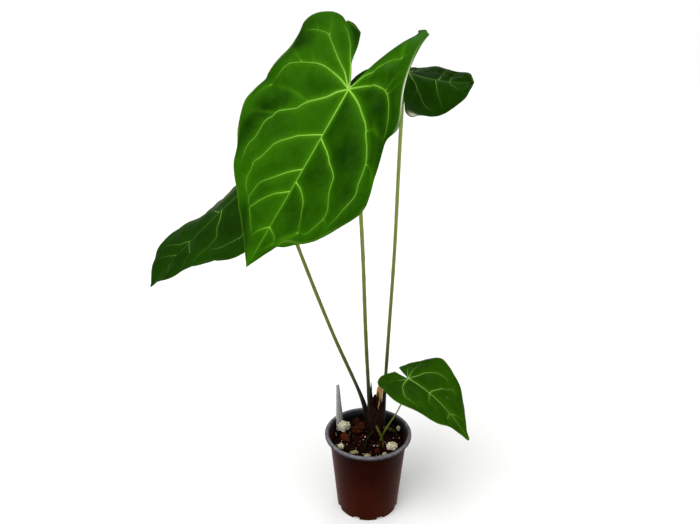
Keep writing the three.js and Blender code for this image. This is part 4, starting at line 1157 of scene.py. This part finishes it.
def petiole(name):
    """A tube up the route, through the knee and square into the blade. Its radius eases from foot to
    middle over the sheathed stretch, and from middle to knee over the knee's length."""
    leaf, stalk = LEAVES[name], PETIOLES[name]
    _, tip, up = leaf_axes(leaf)
    joint = np.array(leaf["joint"], float) + KNEE_SHIFT * tip
    route = [*stalk["route"], joint - KNEE * up, joint - 0.5 * THICKNESS * up]
    curve = curve_through(route)
    length = np.linalg.norm(np.diff(curve[1], axis=0), axis=1).sum()
    share = np.linspace(0, 1, int(length / 1.6))
    path = at_share(curve, share)
    foot, middle, knee = stalk["radii"]
    run = share * length
    radius = foot + (middle - foot) * smooth(run / SHEATHED)
    radius = radius + (knee - middle) * smooth((run - (length - 2 * KNEE)) / KNEE)
    radius = radius * (stalk["stout"] + 0.03 * ripple(path, 14, int(name)))
    tall = LEAVES["1"]["joint"][2] - MIX_TOP
    climb = (path[:, 2] - MIX_TOP) / tall + stalk["young"]
    return tube(path, radius, sides=18, climb=climb)


for name in PETIOLES:
    add_piece(f"stalk_{name}", petiole(name), FINISH["petiole"], [f"petiole_{name}"])

# %% [markdown]
# ## Pot
# A profile of radii and heights is carried round the axis: up the tapered wall, round the rolled lip and
# down inside. Where a drainage notch is, the foot of the wall is pushed in. Columns of the grid lie on
# both sides of each notch, so that its walls are steep.

# %% Pot values
_, high_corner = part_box("pot")
RIM_RADIUS = high_corner.x / MM
POT_HEIGHT = high_corner.z / MM
BODY_TOP_RADIUS = 46.5
BASE_RADIUS = 37.5
WALL = 1.4
LIP_HEIGHT = 6
BEAD_HEIGHT = 4.6  # of the rolled edge at the lip's outside
LIP_WIDTH = 3.6
LIP_EDGE = 1.2
NOTCH_COUNT = 8
NOTCH_WIDTH = 8
NOTCH_HEIGHT = 4.5
NOTCH_DEPTH = 3.8
print("pot", round(2 * RIM_RADIUS), "mm across and", round(POT_HEIGHT), "mm high")


def rounded(profile, radius=0.9, steps=4):
    """The corners of a profile, rounded: each inner corner gives way to a small quadratic curve."""
    p = np.asarray(profile, float)
    out = [p[:1]]
    for before, here, after in zip(p[:-2], p[1:-1], p[2:]):
        t = np.linspace(0, 1, steps)[:, None]
        back, on = before - here, after - here
        start = here + back * min(radius / np.linalg.norm(back), 0.45)
        end = here + on * min(radius / np.linalg.norm(on), 0.45)
        out.append((1 - t) ** 2 * start + 2 * t * (1 - t) * here + t**2 * end)
    out.append(p[-1:])
    return np.concatenate(out)


# %% Pot
under_lip = POT_HEIGHT - LIP_HEIGHT
wall_heights = np.linspace(0, under_lip - 1, 34)[1:-1]
wall_radii = BASE_RADIUS + (BODY_TOP_RADIUS - BASE_RADIUS) * wall_heights / (under_lip - 1)
pot_profile = rounded(
    [
        (0, 0),
        (BASE_RADIUS - 8, 0),
        (BASE_RADIUS, 0),
        *zip(wall_radii, wall_heights),
        (BODY_TOP_RADIUS, under_lip - 1),
        (BODY_TOP_RADIUS + 0.8, POT_HEIGHT - BEAD_HEIGHT),
        (RIM_RADIUS - LIP_EDGE, POT_HEIGHT - BEAD_HEIGHT),
        (RIM_RADIUS, POT_HEIGHT - BEAD_HEIGHT + LIP_EDGE),
        (RIM_RADIUS, POT_HEIGHT - LIP_EDGE),
        (RIM_RADIUS - LIP_EDGE, POT_HEIGHT),
        (RIM_RADIUS - LIP_WIDTH, POT_HEIGHT),
        (RIM_RADIUS - LIP_WIDTH - LIP_EDGE, POT_HEIGHT - LIP_EDGE),
        (BODY_TOP_RADIUS - WALL, under_lip - LIP_EDGE),
        (BASE_RADIUS - WALL, WALL),
        (0, WALL),
    ]
)
half_notch = math.degrees(NOTCH_WIDTH / 2 / BASE_RADIUS)
notch_turns = np.array([-half_notch - 0.5, -half_notch, -half_notch / 2, 0, half_notch / 2, half_notch])
between = np.linspace(half_notch + 0.5, 360 / NOTCH_COUNT - half_notch - 0.5, 16)[:-1]
one_part = np.concatenate([notch_turns, between])
first_notch = 180 / NOTCH_COUNT
pot_turns = np.concatenate([one_part + first_notch + 360 / NOTCH_COUNT * i for i in range(NOTCH_COUNT)])
pot = lathe(pot_profile, np.radians(pot_turns))
radius = np.linalg.norm(pot["points"][:, :2], axis=1)
height = pot["points"][:, 2]
bearing = np.degrees(np.arctan2(pot["points"][:, 1], pot["points"][:, 0]))
from_notch = (bearing - first_notch) % (360 / NOTCH_COUNT)
from_notch = np.minimum(from_notch, 360 / NOTCH_COUNT - from_notch)
outside = radius > BASE_RADIUS - 1.2
in_notch = (from_notch < half_notch + 0.1) & (height < NOTCH_HEIGHT) & outside
radius_in = np.where(in_notch, (radius - NOTCH_DEPTH) / np.maximum(radius, 1), 1)
pot["points"][:, :2] *= radius_in[:, None]
wall_radius = BASE_RADIUS + (BODY_TOP_RADIUS - BASE_RADIUS) * height / (under_lip - 1)
crest = np.hypot(radius - (RIM_RADIUS - LIP_WIDTH / 2), 1.6 * (height - POT_HEIGHT))
# A painted highlight, pale grey, along the crest of the lip
pot["tags"]["scuff"] = 1.5 * bell(crest / 3.2)
pot["tags"]["skin"] = ((height < under_lip - 0.6) & (radius > wall_radius - 0.7)).astype(float)
add_piece("pot_shell", pot, FINISH["pot"], ["pot"], crease=35)

# %% [markdown]
# ## Potting mix
# The mix is damp fir bark, charcoal and fines. Its top is a disc with slow humps, a mound round the stem
# and a rough crumb. Hundreds of bark chips lie half sunk in it. A chip is a little flake: a rounded box
# whose corners are pushed about, turned and scaled at random from a seed.

# %% Mix bed
MIX_ROLL = 1.6
MOUND = 3
MOUND_REACH = 20
MIX_EDGE_FALL = 4
STEM_X = 9
GAP = 0.35


def wall_inside(z):
    """The wall's inner radius at a height, less the gaps: it grows evenly from the base to the lip."""
    return BASE_RADIUS + (BODY_TOP_RADIUS - BASE_RADIUS) * z / under_lip - WALL - 2 * GAP


def mix_height(x, y):
    """Slow humps and a mound round the stem, over the mix's middle height."""
    humps = MIX_ROLL * np.sin(x / 8 + 1) * np.cos(y / 9)
    away = np.hypot(x - STEM_X, y) / MOUND_REACH
    return MIX_TOP + humps + MOUND * np.exp(-(away**2))


mix_edge = wall_inside(MIX_TOP - MIX_EDGE_FALL)
reach = np.linspace(0, 1, 90)
turns = np.linspace(0, 2 * np.pi, 240, endpoint=False)
x = mix_edge * reach[:, None] * np.cos(turns)
y = mix_edge * reach[:, None] * np.sin(turns)
ground = np.stack([x, y, 0 * x], axis=-1)
crumb = 1.1 * ripple(ground, 9, 3) + 0.8 * ripple(ground, 4.5, 4) + 0.5 * ripple(ground, 2.2, 5)
fall = MIX_EDGE_FALL * smooth((reach - 0.93) / 0.07)[:, None]
ground[..., 2] = mix_height(x, y) + crumb * np.minimum(1, 6 * (1 - reach))[:, None] - fall - 1
side_profile = [(wall_inside(z), z) for z in np.linspace(MIX_TOP - MIX_EDGE_FALL - 8, WALL + GAP, 8)]
side_profile.append((0, WALL + GAP))
side = lathe(side_profile, turns)
side_points = side["points"].reshape(len(side_profile), len(turns), 3)
bed_points = np.concatenate([ground, side_points])
bed = grid(bed_points, around=True, tone=0.12, edge=0.0)


# %% Flakes
def flakes(centres, sizes, rotation, tones, seed, rough=0.22):
    """Many small flakes at once: a ball of 5 by 7 points squared off to a rounded box, its points pushed
    out or in at random, scaled by the flake's sizes, turned and moved to its centre."""
    random = np.random.default_rng(seed)
    v = np.linspace(-np.pi / 2, np.pi / 2, 5)[:, None]
    u = np.linspace(0, 2 * np.pi, 7, endpoint=False)[None]

    def boxy(value):
        return np.sign(value) * np.abs(value) ** 0.6

    ball = [boxy(np.cos(v)) * boxy(np.cos(u)), boxy(np.cos(v)) * boxy(np.sin(u)), boxy(np.sin(v)) + 0 * u]
    ball = np.stack(ball).transpose(1, 2, 0) / 2
    push = 1 + rough * random.uniform(-1, 1, (len(centres), 5, 7, 1))
    push[:, 0] = push[:, 0, :1]
    push[:, -1] = push[:, -1, :1]
    points = ball[None] * push * np.asarray(sizes)[:, None, None]
    points = np.einsum("nij,nrcj->nrci", rotation, points) + np.asarray(centres)[:, None, None]
    return joined([grid(one, around=True, tone=tone, edge=0.0) for one, tone in zip(points, tones)])


def scattered(random, count, inset):
    """Even places over the bed, up to an inset from its edge: the reach is the root of an even share."""
    reach = (mix_edge - inset) * np.sqrt(random.uniform(0, 1, count))
    turn = random.uniform(0, 2 * np.pi, count)
    return reach * np.cos(turn), reach * np.sin(turn)


def tumbled(random, count, lean):
    """Turns for as many flakes: any yaw, with a tilt and a roll of about lean degrees."""
    yaw = random.uniform(0, 360, count)
    return turned(yaw, random.normal(0, lean, count), random.normal(0, lean, count))


# %% Bark chips
CHIPS = 420
random = np.random.default_rng(11)
x, y = scattered(random, CHIPS, 3)
length = 2.5 + 7.5 * random.uniform(0, 1, CHIPS) ** 2
width = length * random.uniform(0.4, 0.8, CHIPS)
sizes = np.stack([length, width, random.uniform(1, 2.6, CHIPS)], axis=1)
centres = np.stack([x, y, mix_height(x, y) + random.uniform(-0.8, 1.2, CHIPS)], axis=1)
spin = tumbled(random, CHIPS, 24)
tones = np.where(random.uniform(0, 1, CHIPS) < 0.1, 0.9, random.uniform(0, 0.3, CHIPS))
chips = flakes(centres, sizes, spin, tones, 12)
add_piece("bark_mix", joined([bed, chips]), FINISH["mix"], ["potting_mix"])

# %% [markdown]
# ## Pumice
# The pale lumps are pumice and perlite: light stones blown full of bubbles. The surface is knobbly like
# a cauliflower. A ball swells towards a few dozen random knobs, and smaller pits roughen it. Crumbs of
# perlite lie between the chips, and are the same small flakes in white.

# %% Pumice lumps
PUMICE_COUNT = 7
GREEN_SLABS = (5, 6, 7)  # the flat crumbs along the front, stained green


def lump(centre, size, seed, tone, knobs=34):
    """A ball whose radius is 0.8 plus the highest of its knobs, exp(-(1 - cos) / spread), and a crumb."""
    v = np.linspace(0, np.pi, 44)[:, None]
    u = np.linspace(0, 2 * np.pi, 72, endpoint=False)[None]
    way = np.stack([np.sin(v) * np.cos(u), np.sin(v) * np.sin(u), np.cos(v) + 0 * u], axis=-1)
    random = np.random.default_rng(seed)
    knob = random.normal(size=(knobs, 3))
    knob /= np.linalg.norm(knob, axis=1, keepdims=True)
    height = random.uniform(0.5, 1.0, knobs)
    swell = (height * np.exp((way @ knob.T - 1) / 0.035)).max(axis=-1)
    radius = 0.78 + 0.26 * swell * min(1, 0.3 + tone) + 0.02 * ripple(way, 0.5, seed)
    radius = radius + 0.012 * ripple(way, 0.2, seed + 9)
    points = centre + way * radius[..., None] * size / 2
    return grid(points, around=True, tone=tone + 0.5 * (swell - 0.6), edge=0 * radius)


for i in range(1, PUMICE_COUNT + 1):
    low, high = (np.array(corner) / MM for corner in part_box(f"pumice_{i}"))
    shape = lump((low + high) / 2, (high - low) * 1.02, 40 + i, 0.3 if i in GREEN_SLABS else 0.7)
    add_piece(f"pumice_lump_{i}", shape, FINISH["pumice"], [f"pumice_{i}"], crease=70)

# %% Perlite crumbs
CRUMBS = 60
random = np.random.default_rng(17)
x, y = scattered(random, CRUMBS, 2)
sizes = 0.7 + 1.3 * random.uniform(0, 1, (CRUMBS, 1)) ** 3 * np.ones(3)
centres = np.stack([x, y, mix_height(x, y) + 1.1], axis=1)
spin = tumbled(random, CRUMBS, 40)
crumbs = flakes(centres, sizes, spin, random.uniform(0.5, 1, CRUMBS), 18, rough=0.3)
add_piece("perlite_crumbs", crumbs, FINISH["pumice"])

# %% [markdown]
# ## Bark
# The largest pieces of bark lie on top: curved plates with a fibrous grain along them and broken ends.
# Each is a slab over its width and its length, arched across, with ragged ends and a ridged face.

# %% Bark plates
BARKS = [
    dict(at=(-28, -2, 94), size=(13, 10, 4), turn=25, tilt=12, arch=0.6, tone=0.6),
    dict(at=(-10, 13, 96), size=(19, 12, 4), turn=115, tilt=-24, arch=1.1, tone=0.3),
    dict(at=(-12, 30, 93), size=(16, 8, 4), turn=15, tilt=8, arch=0.6, tone=0.25),
]


def bark_plate(bark, seed):
    """Across u and along v: the arch is (1 - u^2), the grain is a ripple that is long in v and short in u,
    and the ends are cut to a ragged line."""
    length, width, thick = bark["size"]
    u, v = np.meshgrid(np.linspace(-1, 1, 34), np.linspace(-1, 1, 40), indexing="ij")
    ragged = 1 - 0.22 * u**4 + 0.1 * ripple(np.stack([9 * u, 0 * u], axis=-1), 5, seed) * np.abs(v)
    side_cut = 1 - 0.5 * v**4 + 0.12 * ripple(np.stack([6 * v, 0 * v], axis=-1), 5, seed + 1) * np.abs(u)
    x, y = u * width / 2 * side_cut, v * length / 2 * ragged
    grain = 0.5 * ripple(np.stack([3 * x, 0.5 * y], axis=-1), 4, seed + 2)
    arch = bark["arch"] * (1 - u**2)
    thin = 1 - 0.75 * np.maximum(u**6, v**6)
    upper = np.stack([x, y, thick * (arch + 0.3 * thin) + grain], axis=-1)
    under = np.stack([x, y, thick * (0.9 * arch - 0.1 * thin) + grain - 0.1], axis=-1)
    spin = turned(bark["turn"]) @ turned(0, bark["tilt"])
    edge = 0.75 * smooth((u - 0.84) / 0.16)
    tone = bark["tone"] + 0.35 * grain
    place = np.array(bark["at"], float)
    return slab(upper @ spin.T + place, under @ spin.T + place, tone=tone, edge=edge)


for i, bark in enumerate(BARKS, start=1):
    add_piece(f"bark_plate_{i}", bark_plate(bark, 60 + i), FINISH["bark"], [f"bark_{i}"])

# %% [markdown]
# ## Stem
# The stem is a stub wrapped in the dry remains of old leaf sheaths. A turned core with a rough surface
# carries pointed husks that clasp it and stand off a little at their tips, and loose fibres.

# %% Stem core
STEM_FOOT = 66
STEM_TOP = 152
STEM_RADIUS = 9.5
HUSK_COUNT = 26
HUSK_STEP = 1.9  # from one husk's foot up to the next
HUSK_TOP = 172  # no small husk ends higher
GOLDEN_ANGLE = 137.5  # from one leaf base to the next round a stem, in degrees
FIBRE_COUNT = 36
# The large husks in front: where each faces in degrees, its foot's height, its length and its width
BIG_HUSKS = ((292, 106, 38, 9), (320, 104, 36, 8), (262, 104, 42, 8), (235, 108, 38, 7.5), (205, 100, 34, 8))


def stem_radius(z):
    """The core's radius at a height: full at the mix, three quarters higher up, and a blunt point."""
    heights = [STEM_FOOT, MIX_TOP, MIX_TOP + 22, MIX_TOP + 42, STEM_TOP, STEM_TOP + 2]
    shares = [0.7, 1, 0.95, 0.75, 0.3, 0]
    return STEM_RADIUS * np.interp(z, heights, shares)


stem_heights = np.linspace(STEM_FOOT, STEM_TOP + 2, 70)
around = np.linspace(0, 2 * np.pi, 48, endpoint=False)
core = lathe([(0, STEM_FOOT), *zip(stem_radius(stem_heights), stem_heights)], around)
rough = 1 + 0.10 * ripple(core["points"], 6, 71) + 0.05 * ripple(core["points"], 2.5, 72)
core["points"][:, :2] *= rough[:, None]
core["points"][:, 0] += STEM_X
core["tags"] = dict(face=np.ones(len(rough)), tone=0.05 + 0 * rough, edge=0 * rough)


# %% Husks and fibres
def husk(level, turn, height, width, opening, seed):
    """A pointed strip wrapped round the core: its half angle narrows to the tip as (1 - v)^0.8, and it
    leans off the core with v^2. The tip is frayed by a ripple."""
    u, v = np.meshgrid(np.linspace(-1, 1, 13), np.linspace(0, 1, 26), indexing="ij")
    z = level + height * v
    hug = stem_radius(np.minimum(level + 0.4 * height * v, STEM_TOP - 12)) + 0.6
    radius = hug + opening * v**2 + 0.35 * ripple(np.stack([6 * u, 8 * v], axis=-1), 4, seed)
    angle = np.radians(turn) + width / STEM_RADIUS * u * (1 - v) ** 0.8 + 0.12 * v * np.sin(seed)
    thin = 0.35 * (1 - 0.6 * v)

    def at(r):
        return np.stack([STEM_X + r * np.cos(angle), r * np.sin(angle), z], axis=-1)

    edge = 0.5 * smooth((np.abs(u) - 0.75) / 0.25) * (0.4 + 0.6 * v)
    return slab(at(radius + thin), at(radius - thin), tone=0.15 + 0.35 * v, edge=edge)


random = np.random.default_rng(21)
stem_parts = [core]
for turn, level, height, width in BIG_HUSKS:
    stem_parts.append(husk(level, turn, height, width, 2.6, turn))
for i in range(HUSK_COUNT):
    level = MIX_TOP + 4 + HUSK_STEP * i
    height = min(random.uniform(16, 30) if i > 6 else random.uniform(10, 18), HUSK_TOP - level)
    width, opening = random.uniform(4, 8), random.uniform(0, 2.4)
    stem_parts.append(husk(level, GOLDEN_ANGLE * i, height, width, opening, 80 + i))
for i in range(FIBRE_COUNT):
    level, turn = random.uniform(MIX_TOP - 2, MIX_TOP + 44), random.uniform(0, 2 * np.pi)
    run = np.linspace(0, 1, 9)
    spin = turn + 0.5 * run * random.normal()
    out = stem_radius(level) + 0.8 + 2.2 * run**2 * random.uniform(0, 1)
    rise = level + random.uniform(8, 20) * run
    fibre = np.stack([STEM_X + out * np.cos(spin), out * np.sin(spin), rise], axis=1)
    strand = tube(fibre, 0.28 * (1 - 0.6 * run), sides=6, tone=0.5 + 0 * run, edge=0 * run)
    strand["tags"]["face"] = np.ones(len(strand["points"]))
    stem_parts.append(strand)
add_piece("stem_and_husks", joined(stem_parts), FINISH["husk"], ["stem"], crease=60)

# %% [markdown]
# ## Young sheath and roots
# The newest leaf is still folded in its tan, papery sheath, whose two edges are paler. Three roots leave
# the stem above the mix and dive into it. Sheath and roots are tubes along the routes of the solids.

# %% Young sheath
SHEATH_RADIUS = 3.9
SHEATH_ROUTE = [(11, -5, 122), (12, -3, 140), (14, 1, 168)]
share = np.linspace(0, 1, 60)
path = at_share(curve_through(SHEATH_ROUTE), share)
radius = SHEATH_RADIUS * (0.8 + 0.25 * share) * np.sqrt(1 - smooth((share - 0.8) / 0.2))
sides = 32
round_it = 2 * np.pi * np.arange(sides) / sides
pale = 0.9 * np.abs(np.cos(round_it))[None] ** 14 * smooth(share / 0.3)[:, None]
sheath = tube(path, radius, sides=sides, tone=(0.55 - 0.3 * share)[:, None] + 0 * pale, edge=pale)
add_piece("young_sheath", sheath, FINISH["sheath"], ["new_leaf_sheath"])

# %% Roots
ROOT_RADIUS = 1.6
ROOTS = [
    [(9, -9, 117), (13, -14, 110), (17, -17, 100), (18, -18, 82)],
    [(6, -9, 108), (-1, -15, 103), (-4, -20, 95), (-5, -22, 80)],
    [(17, -3, 110), (27, -2, 106), (34, 3, 97), (36, 4, 80)],
]
ROOT_TONES = (0.45, -0.1, 0.3)
for i, (route, tone) in enumerate(zip(ROOTS, ROOT_TONES), start=1):
    share = np.linspace(0, 1, 50)
    path = at_share(curve_through(route), share)
    radius = ROOT_RADIUS * (1 - 0.45 * share) * (1 + 0.08 * ripple(path, 5, 90 + i))
    root = tube(path, radius, sides=16, tone=tone * (1 - 0.8 * share))
    add_piece(f"aerial_root_{i}", root, FINISH["root"], [f"root_{i}"])

# %% [markdown]
# ## Label
# A plain tag of white polystyrene, weathered grey. It is a slab whose half width grows from the pointed
# foot, stays even, and tapers to a round top.

# %% Label
LABEL = dict(
    x=-34.5, y=22, foot=62, shoulder=26, waist=46, top=151, foot_width=9, top_width=4,
    thickness=0.9, turn=30, lean=-5,
)
wide, narrow = LABEL["foot_width"] / 2, LABEL["top_width"] / 2
round_start = LABEL["top"] - narrow
heights = np.concatenate([
    np.linspace(LABEL["foot"], round_start, 80),
    round_start + narrow * np.sin(np.linspace(0, np.pi / 2, 14))[1:],
])
corners = [LABEL["foot"], LABEL["foot"] + LABEL["shoulder"], LABEL["foot"] + LABEL["waist"], round_start]
half_width = np.interp(heights, corners, [0.2 * wide, wide, wide, narrow])
past = np.maximum(heights - round_start, 0)
half_width = np.where(past > 0, np.sqrt(np.maximum(narrow**2 - past**2, 0)), half_width)
across = np.linspace(-1, 1, 11)
flat_x = half_width[:, None] * across
bow = 0.5 * (1 - across**2) + 0 * flat_x
face_y = LABEL["thickness"] / 2
tall = heights[:, None] - MIX_TOP + 0 * flat_x
spin = turned(LABEL["turn"]) @ turned(0, LABEL["lean"])
base = np.array([LABEL["x"], LABEL["y"], MIX_TOP], float)
front = np.stack([flat_x, -face_y - bow * 0.4, tall], axis=-1) @ spin.T + base
back = np.stack([flat_x, face_y - bow * 0.4, tall], axis=-1) @ spin.T + base
grime = 0.5 - 0.25 * across + 0.28 * ripple(np.stack([flat_x, tall], axis=-1), 2.4, 99)
tag = slab(front, back, tone=grime, edge=0 * grime)
add_piece("blank_tag", tag, FINISH["label"], ["plant_label"])

# %% [markdown]
# ## Studio
# A plain pale floor that reaches past every view, and soft light. Two wide distant lights, a key from the
# upper left in front and one from almost straight above, light the whole floor evenly, as large softboxes
# do. A weak fill stands on the right, and a weak one behind lifts the leaves off the ground. The world is
# bright to the camera alone, so that the ground stays white without flattening the shade.

# %% Floor
FLOOR_REACH = 6000
floor_material, tree, shader = new_finish("pale_paper")
place = add_node(tree, "TexCoord", {}, "Object")
fibre = add_node(tree, "TexNoise", {"Vector": place, "Scale": per_mm(40), "Detail": 2.0})
tone = add_node(tree, "Mix", {0: fibre, A: "#fafaf9", B: "#fcfcfb"}, **COLOUR_MIX)
fill(tree, shader, {"Base Color": tone, "Roughness": 0.9})
floor_mesh = bpy.data.meshes.new("floor")
r = FLOOR_REACH * MM
floor_mesh.from_pydata([(-r, -r, 0), (r, -r, 0), (r, r, 0), (-r, r, 0)], [], [(0, 1, 2, 3)])
floor_mesh.materials.append(floor_material)
floor = bpy.data.objects.new("floor", floor_mesh)
bpy.context.scene.collection.objects.link(floor)
floor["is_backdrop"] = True

# %% Lights
AIM = np.array([-0.04, 0.0, 0.33])  # the middle of the plant, in metres


def add_light(name, kind, strength, turn, place=(0, 0, 0), **settings):
    """A light at a place in metres, turned from looking straight down by angles in radians."""
    data = bpy.data.lights.new(name, kind)
    data.energy = strength
    for setting, value in settings.items():
        setattr(data, setting, value)
    lamp = bpy.data.objects.new(name, data)
    lamp.location = place
    lamp.rotation_euler = turn
    bpy.context.scene.collection.objects.link(lamp)


add_light("key", "SUN", 2.4, (math.radians(38), 0, math.radians(-42)), angle=math.radians(60))
add_light("top", "SUN", 1.5, (math.radians(8), 0, 0), angle=math.radians(110))
for name, place, size in (("fill", (1.5, -1.2, 1.0), 1.5), ("back", (0.3, 1.3, 1.7), 1.0)):
    toward = AIM - place
    tilt = math.atan2(math.hypot(toward[0], toward[1]), -toward[2])
    turn = math.atan2(toward[1], toward[0]) - math.pi / 2
    add_light(name, "AREA", 4, (tilt, 0, turn), place, size=size)
world = bpy.data.worlds.new("studio")
bpy.context.scene.world = world
world.use_nodes = True
tree = world.node_tree
seen = add_node(tree, "LightPath", {}, "Is Camera Ray")
bright = add_node(tree, "MapRange", {"Value": seen, "To Min": 0.1, "To Max": 1.0})
fill(tree, tree.nodes["Background"], {"Strength": bright, "Color": (1, 1, 1, 1)})
bpy.context.scene.view_settings.view_transform = "Standard"

# %% Sizes
visual_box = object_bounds()
sizes = {"cad": [list(c) for c in cad_box], "visual": [list(c) for c in visual_box]}
print(sizes)
